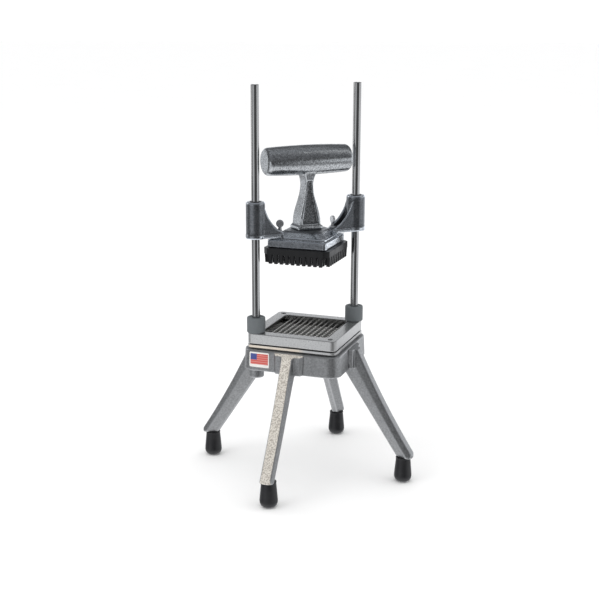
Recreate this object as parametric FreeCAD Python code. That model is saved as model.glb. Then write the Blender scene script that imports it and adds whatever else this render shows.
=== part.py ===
"""French fry cutter: a hand press on two guide rods, over a square blade grid on four legs.

Millimetres, +Z up. The origin is on the ground, midway between the four feet. +X runs to the
right along the front edge of the base and +Y away from the front. The guide rods, the grip and
the two arms of the head lie on the diagonal from front left to back right.
"""
import FreeCAD, Part

import math
import os

from FreeCAD import Vector

# Blade grid
CELL_COUNT = 12
CELL_WIDTH = 6.35
BLADE_THICKNESS = 0.53
UPPER_BLADE_HEIGHT = 5.6
LOWER_BLADE_HEIGHT = 5.0
BLADE_CROSSING_GAP = 0.3
BLADE_RECESS = 5.0
BLADE_SEAT = 4.0
BLADE_SLOT_CLEARANCE = 0.05

# Blade frames
RIM_WIDTH = 13.8
FRAME_CORNER_RADIUS = 6.5
OPENING_CORNER_RADIUS = 7.0
UPPER_FRAME_THICKNESS = 12.3
LOWER_FRAME_THICKNESS = 3.4
LOWER_FRAME_MARGIN = 0.4
REVEAL_HEIGHT = 1.2
REVEAL_DEPTH = 1.5
FRAME_EDGE_CHAMFER = 0.6

# Base casting
SKIRT_BOTTOM = 138.8
SKIRT_HEIGHT = 25.0
SKIRT_WALL = 5.0
SKIRT_DRAFT = 1.0
SKIRT_CORNER_RADIUS = 14.0
BASE_LEDGE = 4.2
DECK_THICKNESS = 6.0
BASE_LAND_HEIGHT = 1.5

# Guide rods and what holds them
ROD_DIAMETER = 9.525
ROD_SETBACK = 4.95
ROD_STANDOUT = 289.0
ROD_END_CHAMFER = 0.6
ROD_HOLE_CLEARANCE = 0.2
ROD_SEAT_CLEARANCE = 0.03
ROD_BOSS_DIAMETER = 18.4
ROD_BOSS_DROP = 11.6
ROD_BOLT_DIAMETER = 6.0
ROD_BOLT_LENGTH = 18.0
ROD_BOLT_HEAD_DIAMETER = 10.0
ROD_BOLT_HEAD_HEIGHT = 5.0
WASHER_THICKNESS = 1.0
WASHER_DIAMETER = 11.4
COUNTERBORE_DEPTH = 6.6
COUNTERBORE_CLEARANCE = 0.3
BOSS_SHOULDER = 4.5
BUMPER_DIAMETER = 21.9
BUMPER_HEIGHT = 18.8
BUMPER_CHAMFER = 0.9
BUMPER_DISH_DEPTH = 0.8
BUMPER_DISH_DIAMETER = 16.0
BUMPER_BORE_CLEARANCE = 0.1

# Screws of the blade frames, at the two corners without rods
FRAME_SCREW_DIAMETER = 3.5
FRAME_SCREW_HEAD_DIAMETER = 5.4
FRAME_SCREW_HEAD_HEIGHT = 3.0
FRAME_SCREW_RECESS = 1.3
FRAME_SCREW_LENGTH = 26.0
FRAME_SCREW_SOCKET = 2.5
SCREW_BOSS_DIAMETER = 12.0
SCREW_BOSS_DROP = 15.0
SCREW_CLEARANCE = 0.25
THREAD_CLEARANCE = 0.05

# Legs
FOOT_REACH = 125.3
LEG_END_HEIGHT = 31.0
LEG_END_RADIUS = 12.5
LEG_TOE_REACH = 14.2
LEG_HEEL_REACH = 7.5
LEG_BOW = 3.3
LEG_FACE_WIDTH = 13.0
LEG_RIDGE_WIDTH = 17.6
LEG_RIDGE_SHARE = 0.38
LEG_HEEL_WIDTH = 6.8
LEG_EDGE_RADIUS = 1.3
LEG_HEEL_SLOPE = 0.665
LEG_ROOT_STEP = 2.0
PAD_WIDTH = 38.0
PAD_FACE_WIDTH = 30.0
PAD_DEPTH = 5.2
PAD_TOP_DROP = 1.8
PAD_TOP_MARGIN = 0.4
LEG_SCREW_DIAMETER = 5.0
LEG_SCREW_HEAD_DIAMETER = 8.5
LEG_SCREW_HEAD_HEIGHT = 5.0
LEG_SCREW_GRIP = 6.5
LEG_SCREW_SOCKET = 4.0
LEG_SCREW_SPACING = 9.3
LEG_SCREW_TOP_DROP = 11.0

# Rubber feet
FOOT_TOP_RADIUS = 8.6
FOOT_COLLAR_RADIUS = 9.0
FOOT_COLLAR_HEIGHT = 1.6
FOOT_WIDEST_RADIUS = 10.6
FOOT_WIDEST_HEIGHT = 8.0
FOOT_FLAT_RADIUS = 4.5
FOOT_FLOOR = 6.0
SPIGOT_RADIUS = 5.5
SPIGOT_CLEARANCE = 0.05

# Head casting
HEAD_LIFT = 94.2
SLEEVE_HEIGHT = 43.0
SLEEVE_RADIUS = 11.2
SLEEVE_COLLAR_RADIUS = 11.7
SLEEVE_EDGE_CHAMFER = 0.7
ARM_FLOOR_THICKNESS = 5.0
ARM_FLANGE_HALF_WIDTH = 10.5
ARM_WEB_HALF_WIDTH = 9.4
ARM_WEB_THICKNESS = 3.4
ARM_ROOT_RUN = 32.4
ARM_WEB_SHOULDER = 6.5
ARM_SWEEP_MID_RUN = 18.9
ARM_SWEEP_MID_DROP = 27.0
ARM_SWEEP_END_RUN = 8.4
HEAD_PLATE_MARGIN = 4.8
HEAD_PLATE_CORNER_RADIUS = 4.0
HEAD_PLATE_THICKNESS = 9.2
HEAD_PLATE_DROP = 2.7
HEAD_STEP_INSET = 3.2
HEAD_STEP_HEIGHT = 3.3
DOME_HEIGHT = 6.0
DOME_TOP_HALF_WIDTH = 21.5
DOME_TOP_CORNER_RADIUS = 12.0
DOME_FOOT_CORNER_RADIUS = 8.0
BUSHING_WALL = 1.7
BUSHING_LENGTH = 12.0
BUSHING_RUNNING_CLEARANCE = 0.05
BUSHING_SEAT_CLEARANCE = 0.02

# Handle
GRIP_HEIGHT = 88.1
GRIP_LENGTH = 108.0
GRIP_MID_RADIUS = 17.6
GRIP_END_RADIUS = 16.2
GRIP_EDGE_RADIUS = 4.5
STEM_FOOT_RUN = 16.4
STEM_FOOT_HALF_DEPTH = 12.4
STEM_FOOT_HEIGHT = 5.2
STEM_FOOT_CORNER_RADIUS = 2.5
STEM_LOW_RUN = 13.2
STEM_LOW_HALF_DEPTH = 12.0
STEM_KNEE_RUN = 9.2
STEM_KNEE_HALF_DEPTH = 11.4
STEM_KNEE_HEIGHT = 23.4
STEM_WAIST_RUN = 5.3
STEM_WAIST_HALF_DEPTH = 9.8
STEM_WAIST_DROP = 36.0
STEM_NECK_RUN = 5.9
STEM_NECK_HALF_DEPTH = 10.0
STEM_NECK_DROP = 21.0
STEM_CROWN_RUN = 11.0
STEM_CROWN_HALF_DEPTH = 12.0
STEM_CROWN_DROP = 11.0
STEM_EDGE_RADIUS = 1.8
POCKET_RIM = 2.2
POCKET_DEPTH = 3.6
POCKET_FLOOR_RISE = 2.4
POCKET_TOP_DROP = 24.0
POCKET_EDGE_RADIUS = 1.2
HANDLE_SCREW_DIAMETER = 6.0
HANDLE_SCREW_SPACING = 15.0
HANDLE_SCREW_HEAD_DIAMETER = 10.0
HANDLE_SCREW_HEAD_HEIGHT = 6.0
HANDLE_SCREW_GRIP = 12.0
HANDLE_SCREW_SOCKET = 5.0

# Pusher block and the thumb screws that hold it
PUSHER_CLEARANCE = 0.85
PUSHER_PLATE_THICKNESS = 7.4
PUSHER_TOOTH_LENGTH = 11.1
PUSHER_SLOT_ROOT_WIDTH = 1.6
PUSHER_SLOT_TIP_WIDTH = 2.3
THUMB_SCREW_RUN = 34.5
THUMB_SCREW_DIAMETER = 5.0
THUMB_SCREW_ENGAGEMENT = 6.0
THUMB_PADDLE_DIAMETER = 9.2
THUMB_PADDLE_THICKNESS = 2.8
THUMB_PADDLE_HEIGHT = 10.2
THUMB_NECK_DIAMETER = 5.0
THUMB_COLLAR_DIAMETER = 8.4
THUMB_COLLAR_HEIGHT = 1.6
THUMB_RUNNING_CLEARANCE = 0.08
LEFT_PADDLE_ANGLE = 20.0
RIGHT_PADDLE_ANGLE = 137.0
INSERT_DIAMETER = 7.6
INSERT_LENGTH = 6.4

# Label
LABEL_LEFT = -49.6
LABEL_WIDTH = 24.9
LABEL_HEIGHT = 18.0
LABEL_BOTTOM_RISE = 4.6
LABEL_THICKNESS = 0.35
LABEL_CORNER_RADIUS = 1.6
LABEL_SEAT_CLEARANCE = 0.02

# Sizes that follow from the values above
PITCH = CELL_WIDTH + BLADE_THICKNESS
OPENING_HALF = CELL_COUNT * PITCH / 2
FRAME_HALF = OPENING_HALF + RIM_WIDTH
ROD_OFFSET = OPENING_HALF + ROD_SETBACK
ROD_RADIUS = ROD_DIAMETER / 2
ROD_RUN = ROD_OFFSET * math.sqrt(2)
BASE_HALF = FRAME_HALF + BASE_LEDGE
SKIRT_TOP = SKIRT_BOTTOM + SKIRT_HEIGHT
LOWER_FRAME_BOTTOM = SKIRT_TOP + BASE_LAND_HEIGHT
UPPER_FRAME_BOTTOM = LOWER_FRAME_BOTTOM + LOWER_FRAME_THICKNESS + REVEAL_HEIGHT
FRAME_TOP = UPPER_FRAME_BOTTOM + UPPER_FRAME_THICKNESS
FRAME_SCREW_SEAT = FRAME_TOP - FRAME_SCREW_RECESS - FRAME_SCREW_HEAD_HEIGHT
UPPER_BLADE_TOP = FRAME_TOP - BLADE_RECESS
UPPER_BLADE_BOTTOM = UPPER_BLADE_TOP - UPPER_BLADE_HEIGHT
LOWER_BLADE_TOP = UPPER_BLADE_BOTTOM - BLADE_CROSSING_GAP
LOWER_BLADE_BOTTOM = LOWER_BLADE_TOP - LOWER_BLADE_HEIGHT
BUMPER_TOP = FRAME_TOP + BUMPER_HEIGHT
ROD_TOP = FRAME_TOP + ROD_STANDOUT
ROD_BOSS_BOTTOM = SKIRT_BOTTOM - ROD_BOSS_DROP
COUNTERBORE_TOP = ROD_BOSS_BOTTOM + COUNTERBORE_DEPTH
ROD_BOTTOM = COUNTERBORE_TOP + BOSS_SHOULDER
ARM_BOTTOM = BUMPER_TOP + HEAD_LIFT
ARM_FLOOR = ARM_BOTTOM + ARM_FLOOR_THICKNESS
SLEEVE_TOP = ARM_BOTTOM + SLEEVE_HEIGHT
HEAD_PLATE_TOP = ARM_BOTTOM - HEAD_PLATE_DROP
HEAD_PLATE_BOTTOM = HEAD_PLATE_TOP - HEAD_PLATE_THICKNESS
HEAD_PLATE_HALF = OPENING_HALF - HEAD_PLATE_MARGIN
HEAD_STEP_TOP = HEAD_PLATE_TOP + HEAD_STEP_HEIGHT
DOME_TOP = HEAD_STEP_TOP + DOME_HEIGHT
GRIP_AXIS = ARM_BOTTOM + GRIP_HEIGHT
STEM_BASE = DOME_TOP + STEM_FOOT_HEIGHT
PUSHER_HALF = OPENING_HALF - PUSHER_CLEARANCE
PUSHER_PLATE_BOTTOM = HEAD_PLATE_BOTTOM - PUSHER_PLATE_THICKNESS
PUSHER_BOTTOM = PUSHER_PLATE_BOTTOM - PUSHER_TOOTH_LENGTH
BUSHING_OUTER_RADIUS = ROD_RADIUS + BUSHING_RUNNING_CLEARANCE + BUSHING_WALL
LEG_ROOT_TOP = SKIRT_TOP - PAD_TOP_MARGIN
INNER_SKIRT_HALF = BASE_HALF - SKIRT_WALL

# Tools that must reach right through a solid stand out by this much
OVERSHOOT = 2.0
UP = Vector(0, 0, 1)
DIAGONAL_ANGLE = 45.0


def rounded_polygon(points, radii, place):
    """Closed wire through the corner points, each rounded by its own radius."""
    edges = []
    starts = []
    ends = []
    count = len(points)
    for index in range(count):
        corner = Vector(*points[index], 0)
        before = Vector(*points[index - 1], 0) - corner
        after = Vector(*points[(index + 1) % count], 0) - corner
        half_turn = before.getAngle(after) / 2
        reach = radii[index] / math.tan(half_turn)
        before.normalize()
        after.normalize()
        middle = before + after
        middle.normalize()
        centre = corner + middle * (radii[index] / math.sin(half_turn))
        start = corner + before * reach
        end = corner + after * reach
        starts.append(start)
        ends.append(end)
        edges.append(Part.Arc(place(start), place(centre - middle * radii[index]), place(end)).toShape())
    sides = []
    for index in range(count):
        sides.append(edges[index])
        nearest = starts[(index + 1) % count]
        sides.append(Part.makeLine(place(ends[index]), place(nearest)))
    return Part.Wire(sides)


def level(z):
    """Places a flat point at height z."""
    return lambda point: Vector(point.x, point.y, z)


def rounded_rectangle(half_x, half_y, radius, z):
    """Rounded rectangle about the vertical axis, at height z."""
    corners = [(half_x, -half_y), (half_x, half_y), (-half_x, half_y), (-half_x, -half_y)]
    return rounded_polygon(corners, [radius] * 4, level(z))


def slab(half_x, half_y, radius, bottom, top):
    """Upright slab with a rounded rectangular outline."""
    face = Part.Face(rounded_rectangle(half_x, half_y, radius, bottom))
    return face.extrude(Vector(0, 0, top - bottom))


def box(low, high):
    """Box between two opposite corners."""
    size = [high[axis] - low[axis] for axis in range(3)]
    return Part.makeBox(*size, Vector(*low))


def post(radius, x, y, bottom, top):
    """Upright cylinder."""
    return Part.makeCylinder(radius, top - bottom, Vector(x, y, bottom), UP)


def turned(profile):
    """Solid turned about the vertical axis from (radius, height) points."""
    corners = [Vector(radius, 0, height) for radius, height in profile]
    wire = Part.makePolygon(corners + corners[:1])
    return Part.Face(wire).revolve(Vector(0, 0, 0), UP, 360)


def moved(shape, x, y, z=0.0):
    """Copy of a shape, moved."""
    copy = shape.copy()
    copy.translate(Vector(x, y, z))
    return copy


def spun(shape, degrees):
    """Copy of a shape, turned about the vertical axis through the origin."""
    copy = shape.copy()
    copy.rotate(Vector(0, 0, 0), UP, degrees)
    return copy


def joined(shapes):
    """One solid from several that overlap."""
    first, *others = shapes
    return first.multiFuse(others).removeSplitter()


def hexagonal_socket(across_flats, bottom, top):
    """Six-sided key socket on the vertical axis."""
    radius = across_flats / math.sqrt(3)
    corners = []
    for index in range(6):
        angle = math.radians(60 * index)
        corners.append(Vector(radius * math.cos(angle), radius * math.sin(angle), bottom))
    wire = Part.makePolygon(corners + corners[:1])
    return Part.Face(wire).extrude(Vector(0, 0, top - bottom))


def socket_screw(diameter, head_diameter, head_height, length, socket):
    """Cap screw on the vertical axis: head from 0 up, shank from 0 down."""
    head = turned([
        (0, 0),
        (head_diameter / 2, 0),
        (head_diameter / 2, head_height - head_height / 8),
        (head_diameter / 2 - head_height / 8, head_height),
        (0, head_height),
    ])
    shank = post(diameter / 2, 0, 0, -length, 0)
    key = hexagonal_socket(socket, head_height / 2, head_height + OVERSHOOT)
    return joined([head, shank]).cut(key)


def rod_corners():
    """Places of the two guide rods: front left, then back right."""
    return [(-ROD_OFFSET, -ROD_OFFSET), (ROD_OFFSET, ROD_OFFSET)]


def screw_corners():
    """Places of the two blade frame screws: front right, then back left."""
    return [(ROD_OFFSET, -ROD_OFFSET), (-ROD_OFFSET, ROD_OFFSET)]


def blade_places():
    """Distances of the blades from the middle of the opening."""
    return [(index - CELL_COUNT / 2) * PITCH for index in range(1, CELL_COUNT)]


def opening(bottom, top):
    """The square way through the frames and the base."""
    return slab(OPENING_HALF, OPENING_HALF, OPENING_CORNER_RADIUS, bottom, top)


def skirt_envelope(grow, bottom, top):
    """Outer form of the skirt with its draft, grown outwards by a small amount."""
    wires = []
    for z in (bottom, top):
        share = (SKIRT_TOP - z) / SKIRT_HEIGHT
        half = BASE_HALF + SKIRT_DRAFT * share + grow
        wires.append(rounded_rectangle(half, half, SKIRT_CORNER_RADIUS + grow, z))
    return Part.makeLoft(wires, True, True)


def leg_screw_heights():
    """Heights of the two screws of each leg."""
    highest = SKIRT_TOP - LEG_SCREW_TOP_DROP
    return [highest, highest - LEG_SCREW_SPACING]


def base_casting():
    """Hollow square casting that carries the blade frames, the rods and the legs."""
    shell = skirt_envelope(0.0, SKIRT_BOTTOM, SKIRT_TOP)
    inner_radius = SKIRT_CORNER_RADIUS - SKIRT_WALL
    cavity = slab(INNER_SKIRT_HALF, INNER_SKIRT_HALF, inner_radius,
                  SKIRT_BOTTOM - OVERSHOOT, SKIRT_TOP - DECK_THICKNESS)
    land_half = FRAME_HALF - REVEAL_DEPTH
    land = slab(land_half, land_half, FRAME_CORNER_RADIUS, SKIRT_TOP - DECK_THICKNESS, LOWER_FRAME_BOTTOM)
    bosses = []
    for x, y in rod_corners():
        bosses.append(post(ROD_BOSS_DIAMETER / 2, x, y, ROD_BOSS_BOTTOM, SKIRT_TOP))
    for x, y in screw_corners():
        bosses.append(post(SCREW_BOSS_DIAMETER / 2, x, y, SKIRT_TOP - SCREW_BOSS_DROP, SKIRT_TOP))
    body = joined([shell.cut(cavity), land] + bosses)
    body = body.cut(opening(ROD_BOSS_BOTTOM - OVERSHOOT, LOWER_FRAME_BOTTOM + OVERSHOOT))
    return body.cut(Part.makeCompound(base_holes()))


def base_holes():
    """Bores for the rods and their bolts, the frame screws and the leg screws."""
    holes = []
    top = LOWER_FRAME_BOTTOM + OVERSHOOT
    bottom = ROD_BOSS_BOTTOM - OVERSHOOT
    for x, y in rod_corners():
        holes.append(post(ROD_RADIUS + ROD_SEAT_CLEARANCE, x, y, ROD_BOTTOM, top))
        holes.append(post(ROD_BOLT_DIAMETER / 2 + SCREW_CLEARANCE, x, y, COUNTERBORE_TOP, top))
        holes.append(post(WASHER_DIAMETER / 2 + COUNTERBORE_CLEARANCE, x, y, bottom, COUNTERBORE_TOP))
    for x, y in screw_corners():
        deepest = FRAME_SCREW_SEAT - FRAME_SCREW_LENGTH - SCREW_CLEARANCE
        holes.append(post(FRAME_SCREW_DIAMETER / 2 + THREAD_CLEARANCE, x, y, deepest, top))
    bore = LEG_SCREW_DIAMETER / 2 + SCREW_CLEARANCE
    for side in range(4):
        for z in leg_screw_heights():
            start = Vector(INNER_SKIRT_HALF - OVERSHOOT, 0, z)
            hole = Part.makeCylinder(bore, SKIRT_WALL + 2 * OVERSHOOT, start, Vector(1, 0, 0))
            holes.append(spun(hole, 90 * side))
    return holes


def leg_outer_edge(z):
    """Distance of the leg's outer face from the vertical axis, at height z."""
    high = BASE_HALF + PAD_DEPTH + LEG_ROOT_STEP
    low = FOOT_REACH + LEG_TOE_REACH
    share = (LEG_ROOT_TOP - z) / (LEG_ROOT_TOP - LEG_END_HEIGHT)
    return high + (low - high) * share - LEG_BOW * 4 * share * (1 - share)


def leg_inner_edge(z):
    """Distance of the leg's inner edge from the vertical axis, at height z."""
    return FOOT_REACH - LEG_HEEL_REACH - LEG_HEEL_SLOPE * (z - LEG_END_HEIGHT)


def leg_section(z):
    """Level section of the leg: flat face outside, widest at a ridge, narrow heel inside."""
    outer = leg_outer_edge(z)
    inner = leg_inner_edge(z)
    ridge = outer - (outer - inner) * LEG_RIDGE_SHARE
    face = LEG_FACE_WIDTH / 2
    widest = LEG_RIDGE_WIDTH / 2
    heel = LEG_HEEL_WIDTH / 2
    corners = [(outer, -face), (outer, face), (ridge, widest)]
    corners += [(inner, heel), (inner, -heel), (ridge, -widest)]
    return rounded_polygon(corners, [LEG_EDGE_RADIUS] * 6, level(z))


def leg_pad():
    """Mounting pad of the leg, with its sides sloped in towards its outer face."""
    root = BASE_HALF
    face = BASE_HALF + PAD_DEPTH
    half = PAD_WIDTH / 2
    face_half = PAD_FACE_WIDTH / 2
    corners = [(root, half), (root, -half), (face, -face_half), (face, face_half)]
    points = [Vector(x, y, SKIRT_BOTTOM) for x, y in corners]
    outline = Part.makePolygon(points + points[:1])
    return Part.Face(outline).extrude(Vector(0, 0, LEG_ROOT_TOP - SKIRT_BOTTOM))


def leg():
    """One leg, on the +X side: pad, curved strut and the spigot that takes the rubber foot."""
    stations = 6
    drop = (LEG_ROOT_TOP - LEG_END_HEIGHT) / (stations - 1)
    sections = [leg_section(LEG_END_HEIGHT + drop * index) for index in range(stations)]
    strut = Part.makeLoft(sections, True, False)
    body = joined([strut, leg_pad()])
    body = body.cut(skirt_envelope(0.0, SKIRT_BOTTOM, SKIRT_TOP))
    body = body.cut(box((0, -PAD_WIDTH, SKIRT_BOTTOM), (BASE_HALF, PAD_WIDTH, SKIRT_TOP)))
    body = body.cut(leg_top_bevel()).cut(leg_toe_trim())
    spigot = post(SPIGOT_RADIUS, FOOT_REACH, 0, FOOT_FLOOR, LEG_END_HEIGHT + OVERSHOOT)
    body = joined([body, spigot])
    for z in leg_screw_heights():
        start = Vector(BASE_HALF - OVERSHOOT, 0, z)
        depth = LEG_SCREW_GRIP + SKIRT_DRAFT + OVERSHOOT + SCREW_CLEARANCE
        thread = Part.makeCylinder(LEG_SCREW_DIAMETER / 2 + THREAD_CLEARANCE, depth, start, Vector(1, 0, 0))
        body = body.cut(thread)
    return body


def leg_top_bevel():
    """Wedge that takes the top of the pad and of the strut down towards the outside."""
    near = BASE_HALF
    far = FOOT_REACH
    slope = PAD_TOP_DROP / PAD_DEPTH
    high = LEG_ROOT_TOP + OVERSHOOT
    corners = [
        Vector(near, -PAD_WIDTH, LEG_ROOT_TOP),
        Vector(far, -PAD_WIDTH, LEG_ROOT_TOP - slope * (far - near)),
        Vector(far, -PAD_WIDTH, high),
        Vector(near, -PAD_WIDTH, high),
    ]
    outline = Part.makePolygon(corners + corners[:1])
    wedge = Part.Face(outline).extrude(Vector(0, 2 * PAD_WIDTH, 0))
    reach = near + 2 * PAD_DEPTH + LEG_ROOT_STEP
    return wedge.common(box((near, -PAD_WIDTH, SKIRT_BOTTOM), (reach, PAD_WIDTH, high)))


def leg_toe_trim():
    """What is left off the toe, so that it ends round over the foot."""
    bottom = LEG_END_HEIGHT - OVERSHOOT
    top = LEG_END_HEIGHT + LEG_END_RADIUS
    low = (FOOT_REACH, -PAD_WIDTH, bottom)
    high = (FOOT_REACH + 3 * LEG_TOE_REACH, PAD_WIDTH, top)
    toe = post(LEG_END_RADIUS, FOOT_REACH, 0, bottom - OVERSHOOT, top + OVERSHOOT)
    return box(low, high).cut(toe)


def leg_screws():
    """Two cap screws for each leg, driven outwards from inside the skirt."""
    screw = socket_screw(LEG_SCREW_DIAMETER, LEG_SCREW_HEAD_DIAMETER, LEG_SCREW_HEAD_HEIGHT,
                         SKIRT_WALL + LEG_SCREW_GRIP, LEG_SCREW_SOCKET)
    screw.rotate(Vector(0, 0, 0), Vector(0, 1, 0), -90)
    screws = []
    for side in range(4):
        for z in leg_screw_heights():
            screws.append(spun(moved(screw, INNER_SKIRT_HALF, 0, z), 90 * side))
    return Part.makeCompound(screws)


def rubber_foot():
    """Rubber boot on the +X leg: collar, flared side and rounded sole."""
    half = (FOOT_WIDEST_RADIUS - FOOT_FLAT_RADIUS) * math.sin(math.radians(45))
    sole_x = FOOT_FLAT_RADIUS + half
    sole_z = FOOT_WIDEST_HEIGHT * (1 - math.sin(math.radians(45)))
    collar_bottom = LEG_END_HEIGHT - FOOT_COLLAR_HEIGHT
    bore = SPIGOT_RADIUS + SPIGOT_CLEARANCE
    edges = [
        Part.makeLine(Vector(0, 0, 0), Vector(FOOT_FLAT_RADIUS, 0, 0)),
        Part.Arc(Vector(FOOT_FLAT_RADIUS, 0, 0), Vector(sole_x, 0, sole_z),
                 Vector(FOOT_WIDEST_RADIUS, 0, FOOT_WIDEST_HEIGHT)).toShape(),
    ]
    side = [
        (FOOT_WIDEST_RADIUS, FOOT_WIDEST_HEIGHT),
        (FOOT_TOP_RADIUS, collar_bottom),
        (FOOT_COLLAR_RADIUS, collar_bottom),
        (FOOT_COLLAR_RADIUS, LEG_END_HEIGHT),
        (bore, LEG_END_HEIGHT),
        (bore, FOOT_FLOOR),
        (0, FOOT_FLOOR),
        (0, 0),
    ]
    for start, end in zip(side, side[1:]):
        edges.append(Part.makeLine(Vector(start[0], 0, start[1]), Vector(end[0], 0, end[1])))
    boot = Part.Face(Part.Wire(edges)).revolve(Vector(0, 0, 0), UP, 360)
    return moved(boot, FOOT_REACH, 0)


def blade_slots(bottom, top):
    """Slots for blades that run along Y, from below the rim's inner edge into the rim."""
    half = BLADE_THICKNESS / 2 + BLADE_SLOT_CLEARANCE
    reach = OPENING_HALF + BLADE_SEAT + BLADE_SLOT_CLEARANCE
    slots = []
    for x in blade_places():
        slots.append(box((x - half, -reach, bottom), (x + half, reach, top)))
    return Part.makeCompound(slots)


def blade_frame_upper():
    """Thick upper frame, which holds the upper blades and shows the square opening."""
    body = slab(FRAME_HALF, FRAME_HALF, FRAME_CORNER_RADIUS, UPPER_FRAME_BOTTOM, FRAME_TOP)
    rim_edges = [edge for edge in body.Edges if edge.BoundBox.ZMin > FRAME_TOP - FRAME_EDGE_CHAMFER]
    body = body.makeChamfer(FRAME_EDGE_CHAMFER, rim_edges)
    low = UPPER_FRAME_BOTTOM - OVERSHOOT
    body = body.cut(opening(low, FRAME_TOP + OVERSHOOT))
    body = body.cut(blade_slots(low, UPPER_BLADE_TOP + BLADE_SLOT_CLEARANCE))
    return body.cut(Part.makeCompound(frame_holes(low, FRAME_TOP)))


def frame_holes(bottom, top):
    """Rod holes and screw holes of a blade frame, with the counterbores at the top."""
    holes = []
    for x, y in rod_corners():
        holes.append(post(ROD_RADIUS + ROD_HOLE_CLEARANCE, x, y, bottom, top + OVERSHOOT))
    for x, y in screw_corners():
        holes.append(post(FRAME_SCREW_DIAMETER / 2 + SCREW_CLEARANCE, x, y, bottom, top + OVERSHOOT))
        if top > FRAME_SCREW_SEAT:
            head = FRAME_SCREW_HEAD_DIAMETER / 2 + SCREW_CLEARANCE
            holes.append(post(head, x, y, FRAME_SCREW_SEAT, top + OVERSHOOT))
    return holes


def blade_frame_lower():
    """Thin lower frame with a raised land, which holds the lower blades."""
    plate_top = LOWER_FRAME_BOTTOM + LOWER_FRAME_THICKNESS
    half = FRAME_HALF + LOWER_FRAME_MARGIN
    plate = slab(half, half, FRAME_CORNER_RADIUS + LOWER_FRAME_MARGIN, LOWER_FRAME_BOTTOM, plate_top)
    land_half = FRAME_HALF - REVEAL_DEPTH
    land = slab(land_half, land_half, FRAME_CORNER_RADIUS, LOWER_FRAME_BOTTOM, UPPER_FRAME_BOTTOM)
    body = joined([plate, land])
    low = LOWER_FRAME_BOTTOM - OVERSHOOT
    high = UPPER_FRAME_BOTTOM + OVERSHOOT
    body = body.cut(opening(low, high))
    slots = blade_slots(LOWER_BLADE_BOTTOM, high)
    body = body.cut(spun(slots, 90))
    return body.cut(Part.makeCompound(frame_holes(low, UPPER_FRAME_BOTTOM)))


def blade_strips(bottom, top, end_bottom, end_top):
    """Blade strips that run along Y, with ends of their own height inside the rim's slots."""
    half = BLADE_THICKNESS / 2
    reach = OPENING_HALF + BLADE_SEAT
    inside = OPENING_HALF - 2 * BLADE_SLOT_CLEARANCE
    outside = OPENING_HALF + 2 * BLADE_SLOT_CLEARANCE
    blades = []
    for x in blade_places():
        strip = box((x - half, -inside, bottom), (x + half, inside, top))
        waist = box((x - half, -reach, max(bottom, end_bottom)), (x + half, reach, min(top, end_top)))
        ends = [box((x - half, side[0], end_bottom), (x + half, side[1], end_top))
                for side in ((-reach, -outside), (outside, reach))]
        blades.append(joined([strip, waist] + ends))
    return Part.makeCompound(blades)


def upper_blades():
    """Blades along Y; their ends stand on the lower frame, inside the upper frame's slots."""
    end_bottom = UPPER_FRAME_BOTTOM + BLADE_SLOT_CLEARANCE
    return blade_strips(UPPER_BLADE_BOTTOM, UPPER_BLADE_TOP, end_bottom, UPPER_BLADE_TOP)


def lower_blades():
    """Blades along X; their ends lie in the lower frame's slots, under the upper frame."""
    end_top = UPPER_FRAME_BOTTOM - BLADE_SLOT_CLEARANCE
    return spun(blade_strips(LOWER_BLADE_BOTTOM, LOWER_BLADE_TOP, LOWER_BLADE_BOTTOM, end_top), 90)


def blade_frame_screws():
    """Two cap screws, sunk below the frame's face, that clamp both blade frames to the base."""
    screw = socket_screw(FRAME_SCREW_DIAMETER, FRAME_SCREW_HEAD_DIAMETER, FRAME_SCREW_HEAD_HEIGHT,
                         FRAME_SCREW_LENGTH, FRAME_SCREW_SOCKET)
    return Part.makeCompound([moved(screw, x, y, FRAME_SCREW_SEAT) for x, y in screw_corners()])


def guide_rod(place):
    """Polished rod from its seat in the base boss to its chamfered free end."""
    tap_depth = ROD_BOLT_LENGTH - BOSS_SHOULDER - WASHER_THICKNESS + SCREW_CLEARANCE
    edge = ROD_RADIUS - ROD_END_CHAMFER
    rod = turned([
        (0, ROD_BOTTOM),
        (ROD_RADIUS, ROD_BOTTOM),
        (ROD_RADIUS, ROD_TOP - ROD_END_CHAMFER),
        (edge, ROD_TOP),
        (0, ROD_TOP),
    ])
    tap = post(ROD_BOLT_DIAMETER / 2 + THREAD_CLEARANCE, 0, 0, ROD_BOTTOM - OVERSHOOT, ROD_BOTTOM + tap_depth)
    return moved(rod.cut(tap), *place)


def rod_bolts():
    """Bolts that draw the rods down into the base bosses from below."""
    bolt = socket_screw(ROD_BOLT_DIAMETER, ROD_BOLT_HEAD_DIAMETER, ROD_BOLT_HEAD_HEIGHT, ROD_BOLT_LENGTH,
                        LEG_SCREW_SOCKET)
    bolt.rotate(Vector(0, 0, 0), Vector(1, 0, 0), 180)
    seat = COUNTERBORE_TOP - WASHER_THICKNESS
    return Part.makeCompound([moved(bolt, x, y, seat) for x, y in rod_corners()])


def rod_washers():
    """Washers under the heads of the rod bolts."""
    washers = []
    for x, y in rod_corners():
        disc = post(WASHER_DIAMETER / 2, x, y, COUNTERBORE_TOP - WASHER_THICKNESS, COUNTERBORE_TOP)
        bore = post(ROD_BOLT_DIAMETER / 2 + SCREW_CLEARANCE, x, y, ROD_BOSS_BOTTOM, COUNTERBORE_TOP + OVERSHOOT)
        washers.append(disc.cut(bore))
    return Part.makeCompound(washers)


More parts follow.
